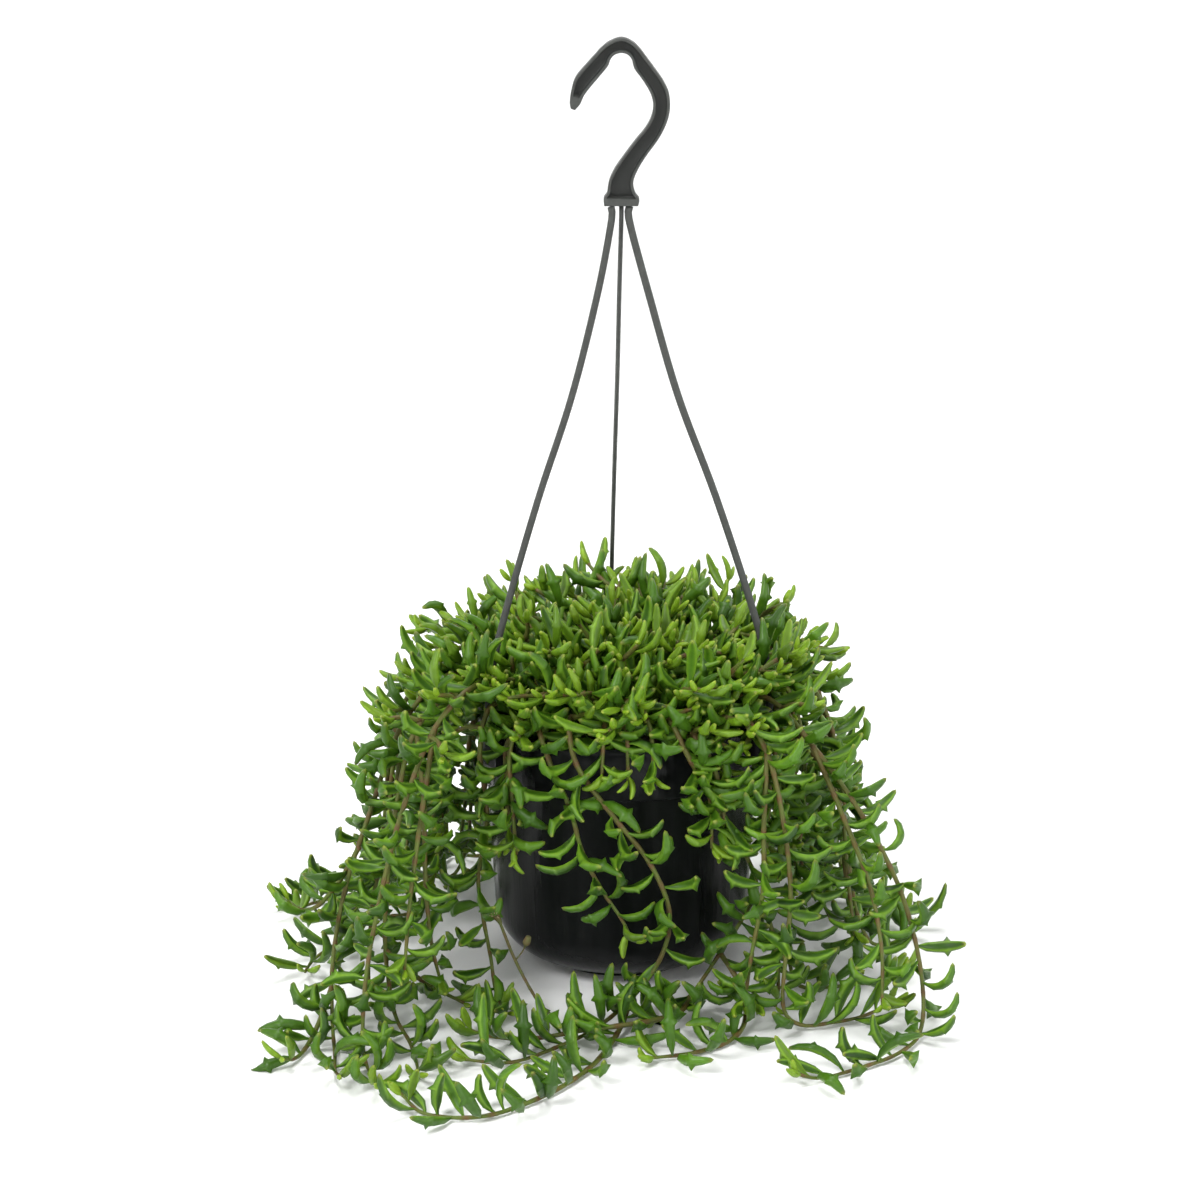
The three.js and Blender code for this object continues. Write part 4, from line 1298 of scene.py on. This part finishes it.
class DOLPHINPOT_OT_trailing(bpy.types.Operator):
    """Adds the long stems that fall over the rim at the front and sides"""

    bl_idname = "dolphinpot.trailing"
    bl_label = "Trailing stems"
    bl_options = {"REGISTER", "UNDO"}

    def execute(self, context):
        """Grows each listed stem."""
        leaves, colours = context.scene.dolphin_leaves, context.scene.dolphin_colours
        for seed, (name, routes) in enumerate(TRAILING.items()):
            side_shoots = [beside(routes[0], *where) for where in BESIDE.get(name, ())]
            grow(f"stem_{name}", [*routes, *side_shoots], leaves.hanging_spacing, leaves,
                 colours, seed)
        return {"FINISHED"}


class DOLPHINPOT_OT_skirt(bpy.types.Operator):
    """Adds the stems round the sides and back, and the short ones that only spill over"""

    bl_idname = "dolphinpot.skirt"
    bl_label = "Skirt stems"
    bl_options = {"REGISTER", "UNDO"}

    def execute(self, context):
        """Grows the skirt and spill stems by their formulas."""
        leaves, colours = context.scene.dolphin_leaves, context.scene.dolphin_colours
        for k in range(SKIRT["count"]):
            grow(f"stem_skirt_{k + 1}", skirt_routes(k), leaves.hanging_spacing, leaves,
                 colours, 100 + k)
        for k in range(len(SPILL["azimuths"])):
            grow(f"stem_spill_{k + 1}", spill_routes(k), leaves.hanging_spacing * 0.8, leaves,
                 colours, 200 + k)
        return {"FINISHED"}


class DOLPHINPOT_OT_crown(bpy.types.Operator):
    """Adds the dense crown of upright and leaning shoots"""

    bl_idname = "dolphinpot.crown"
    bl_label = "Crown shoots"
    bl_options = {"REGISTER", "UNDO"}

    def execute(self, context):
        """Grows each ring of shoots."""
        leaves, colours = context.scene.dolphin_leaves, context.scene.dolphin_colours
        for place, (name, ring) in enumerate(CROWN.items()):
            for k in range(ring["count"]):
                grow(f"shoot_{name}_{k + 1}", crown_shoot(ring, k), leaves.crown_spacing,
                     leaves, colours, 300 + 50 * place + k)
        return {"FINISHED"}


class DOLPHINPOT_OT_flower(bpy.types.Operator):
    """Adds the thin flower stalk with its bud and its dried head"""

    bl_idname = "dolphinpot.flower"
    bl_label = "Flower stalk"
    bl_options = {"REGISTER", "UNDO"}

    bristles = 34

    def execute(self, context):
        """Carries a thin stalk along its route and sets bristles round its end."""
        colours = context.scene.dolphin_colours
        curve, _ = smooth_route(np.array(FLOWER_STALK) * MM, 0.002)
        stalk = closed_loft(tube_rings(curve, 0.0008, 0.0008, 8))
        fork = curve[int(len(curve) * 0.62)]
        bud_route = np.array([fork, fork + (0.004, -0.001, 0.006), fork + (0.007, -0.002, 0.014)])
        bud_curve, along = smooth_route(bud_route, 0.0008)
        share = along / along[-1]
        swell = 0.0004 + 0.0017 * np.clip((share - 0.62) / 0.12, 0, 1) * (1 - 0.45 * share**8)
        bud = closed_loft(tube_rings(bud_curve, swell, swell, 10))
        cup_route = np.array([curve[-2], curve[-1], curve[-1] + (-0.002, 0.0, 0.003)])
        cup_curve, _ = smooth_route(cup_route, 0.0008)
        wide = np.linspace(0.0009, 0.0021, len(cup_curve))
        cup = closed_loft(tube_rings(cup_curve, wide, wide, 10))
        stem = new_object("flower_stalk_stem", *joined(stalk, bud, cup),
                          dry_stalk_skin(colours))
        stands_for(stem, "dry_stalk", "flower_stalk")

        draw = np.random.default_rng(SEED)
        centre = cup_curve[-1]
        heading = unit(draw.normal(size=(self.bristles, 3)) + 1.4 * np.array([-0.4, 0, 1.0]))
        reach = draw.uniform(0.0025, 0.0045, self.bristles)
        side = unit(np.cross(heading, draw.normal(size=(self.bristles, 3))))
        over = np.cross(heading, side)
        angle = np.arange(4) * math.pi / 2
        parts = []
        for i in range(self.bristles):
            share = np.array([0, 0.5, 1.0])[:, None, None]
            width = np.array([0.00022, 0.00030, 0.00012])[:, None, None]
            round_it = (np.cos(angle)[None, :, None] * side[i]
                        + np.sin(angle)[None, :, None] * over[i])
            parts.append(closed_loft(centre + share * reach[i] * heading[i] + width * round_it))
        head = new_object("flower_head", *joined(*parts), dry_bristle(colours))
        stands_for(head, "dry_stalk")
        return {"FINISHED"}


class DOLPHINPOT_PT_panel(bpy.types.Panel):
    """Lists the building steps, in order"""

    bl_label = "Dolphin plant"
    bl_idname = "DOLPHINPOT_PT_panel"
    bl_space_type = "VIEW_3D"
    bl_region_type = "UI"
    bl_category = "Dolphin plant"

    def draw(self, context):
        """Draws one button for each step and the sizes below."""
        for step in STEPS:
            self.layout.operator(step.bl_idname)
        for holder in (context.scene.dolphin_pot, context.scene.dolphin_leaves,
                       context.scene.dolphin_colours):
            for name in holder.__annotations__:
                self.layout.prop(holder, name)


GROUPS = (DolphinPotSizes, DolphinLeafSizes, DolphinColours)
STEPS = (DOLPHINPOT_OT_stage, DOLPHINPOT_OT_pot, DOLPHINPOT_OT_soil, DOLPHINPOT_OT_hook,
         DOLPHINPOT_OT_wires, DOLPHINPOT_OT_trailing, DOLPHINPOT_OT_skirt, DOLPHINPOT_OT_crown,
         DOLPHINPOT_OT_flower)


def register():
    """Registers the classes and hangs the sizes and colours on the scene."""
    for kind in (*GROUPS, *STEPS, DOLPHINPOT_PT_panel):
        bpy.utils.register_class(kind)
    bpy.types.Scene.dolphin_pot = bpy.props.PointerProperty(type=DolphinPotSizes)
    bpy.types.Scene.dolphin_leaves = bpy.props.PointerProperty(type=DolphinLeafSizes)
    bpy.types.Scene.dolphin_colours = bpy.props.PointerProperty(type=DolphinColours)


def unregister():
    """Takes away what register made."""
    del bpy.types.Scene.dolphin_colours
    del bpy.types.Scene.dolphin_leaves
    del bpy.types.Scene.dolphin_pot
    for kind in reversed((*GROUPS, *STEPS, DOLPHINPOT_PT_panel)):
        bpy.utils.unregister_class(kind)


def main():
    register()
    for step in STEPS:
        group, name = step.bl_idname.split(".")
        getattr(getattr(bpy.ops, group), name)()
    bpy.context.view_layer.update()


if __name__ == "__main__":
    main()
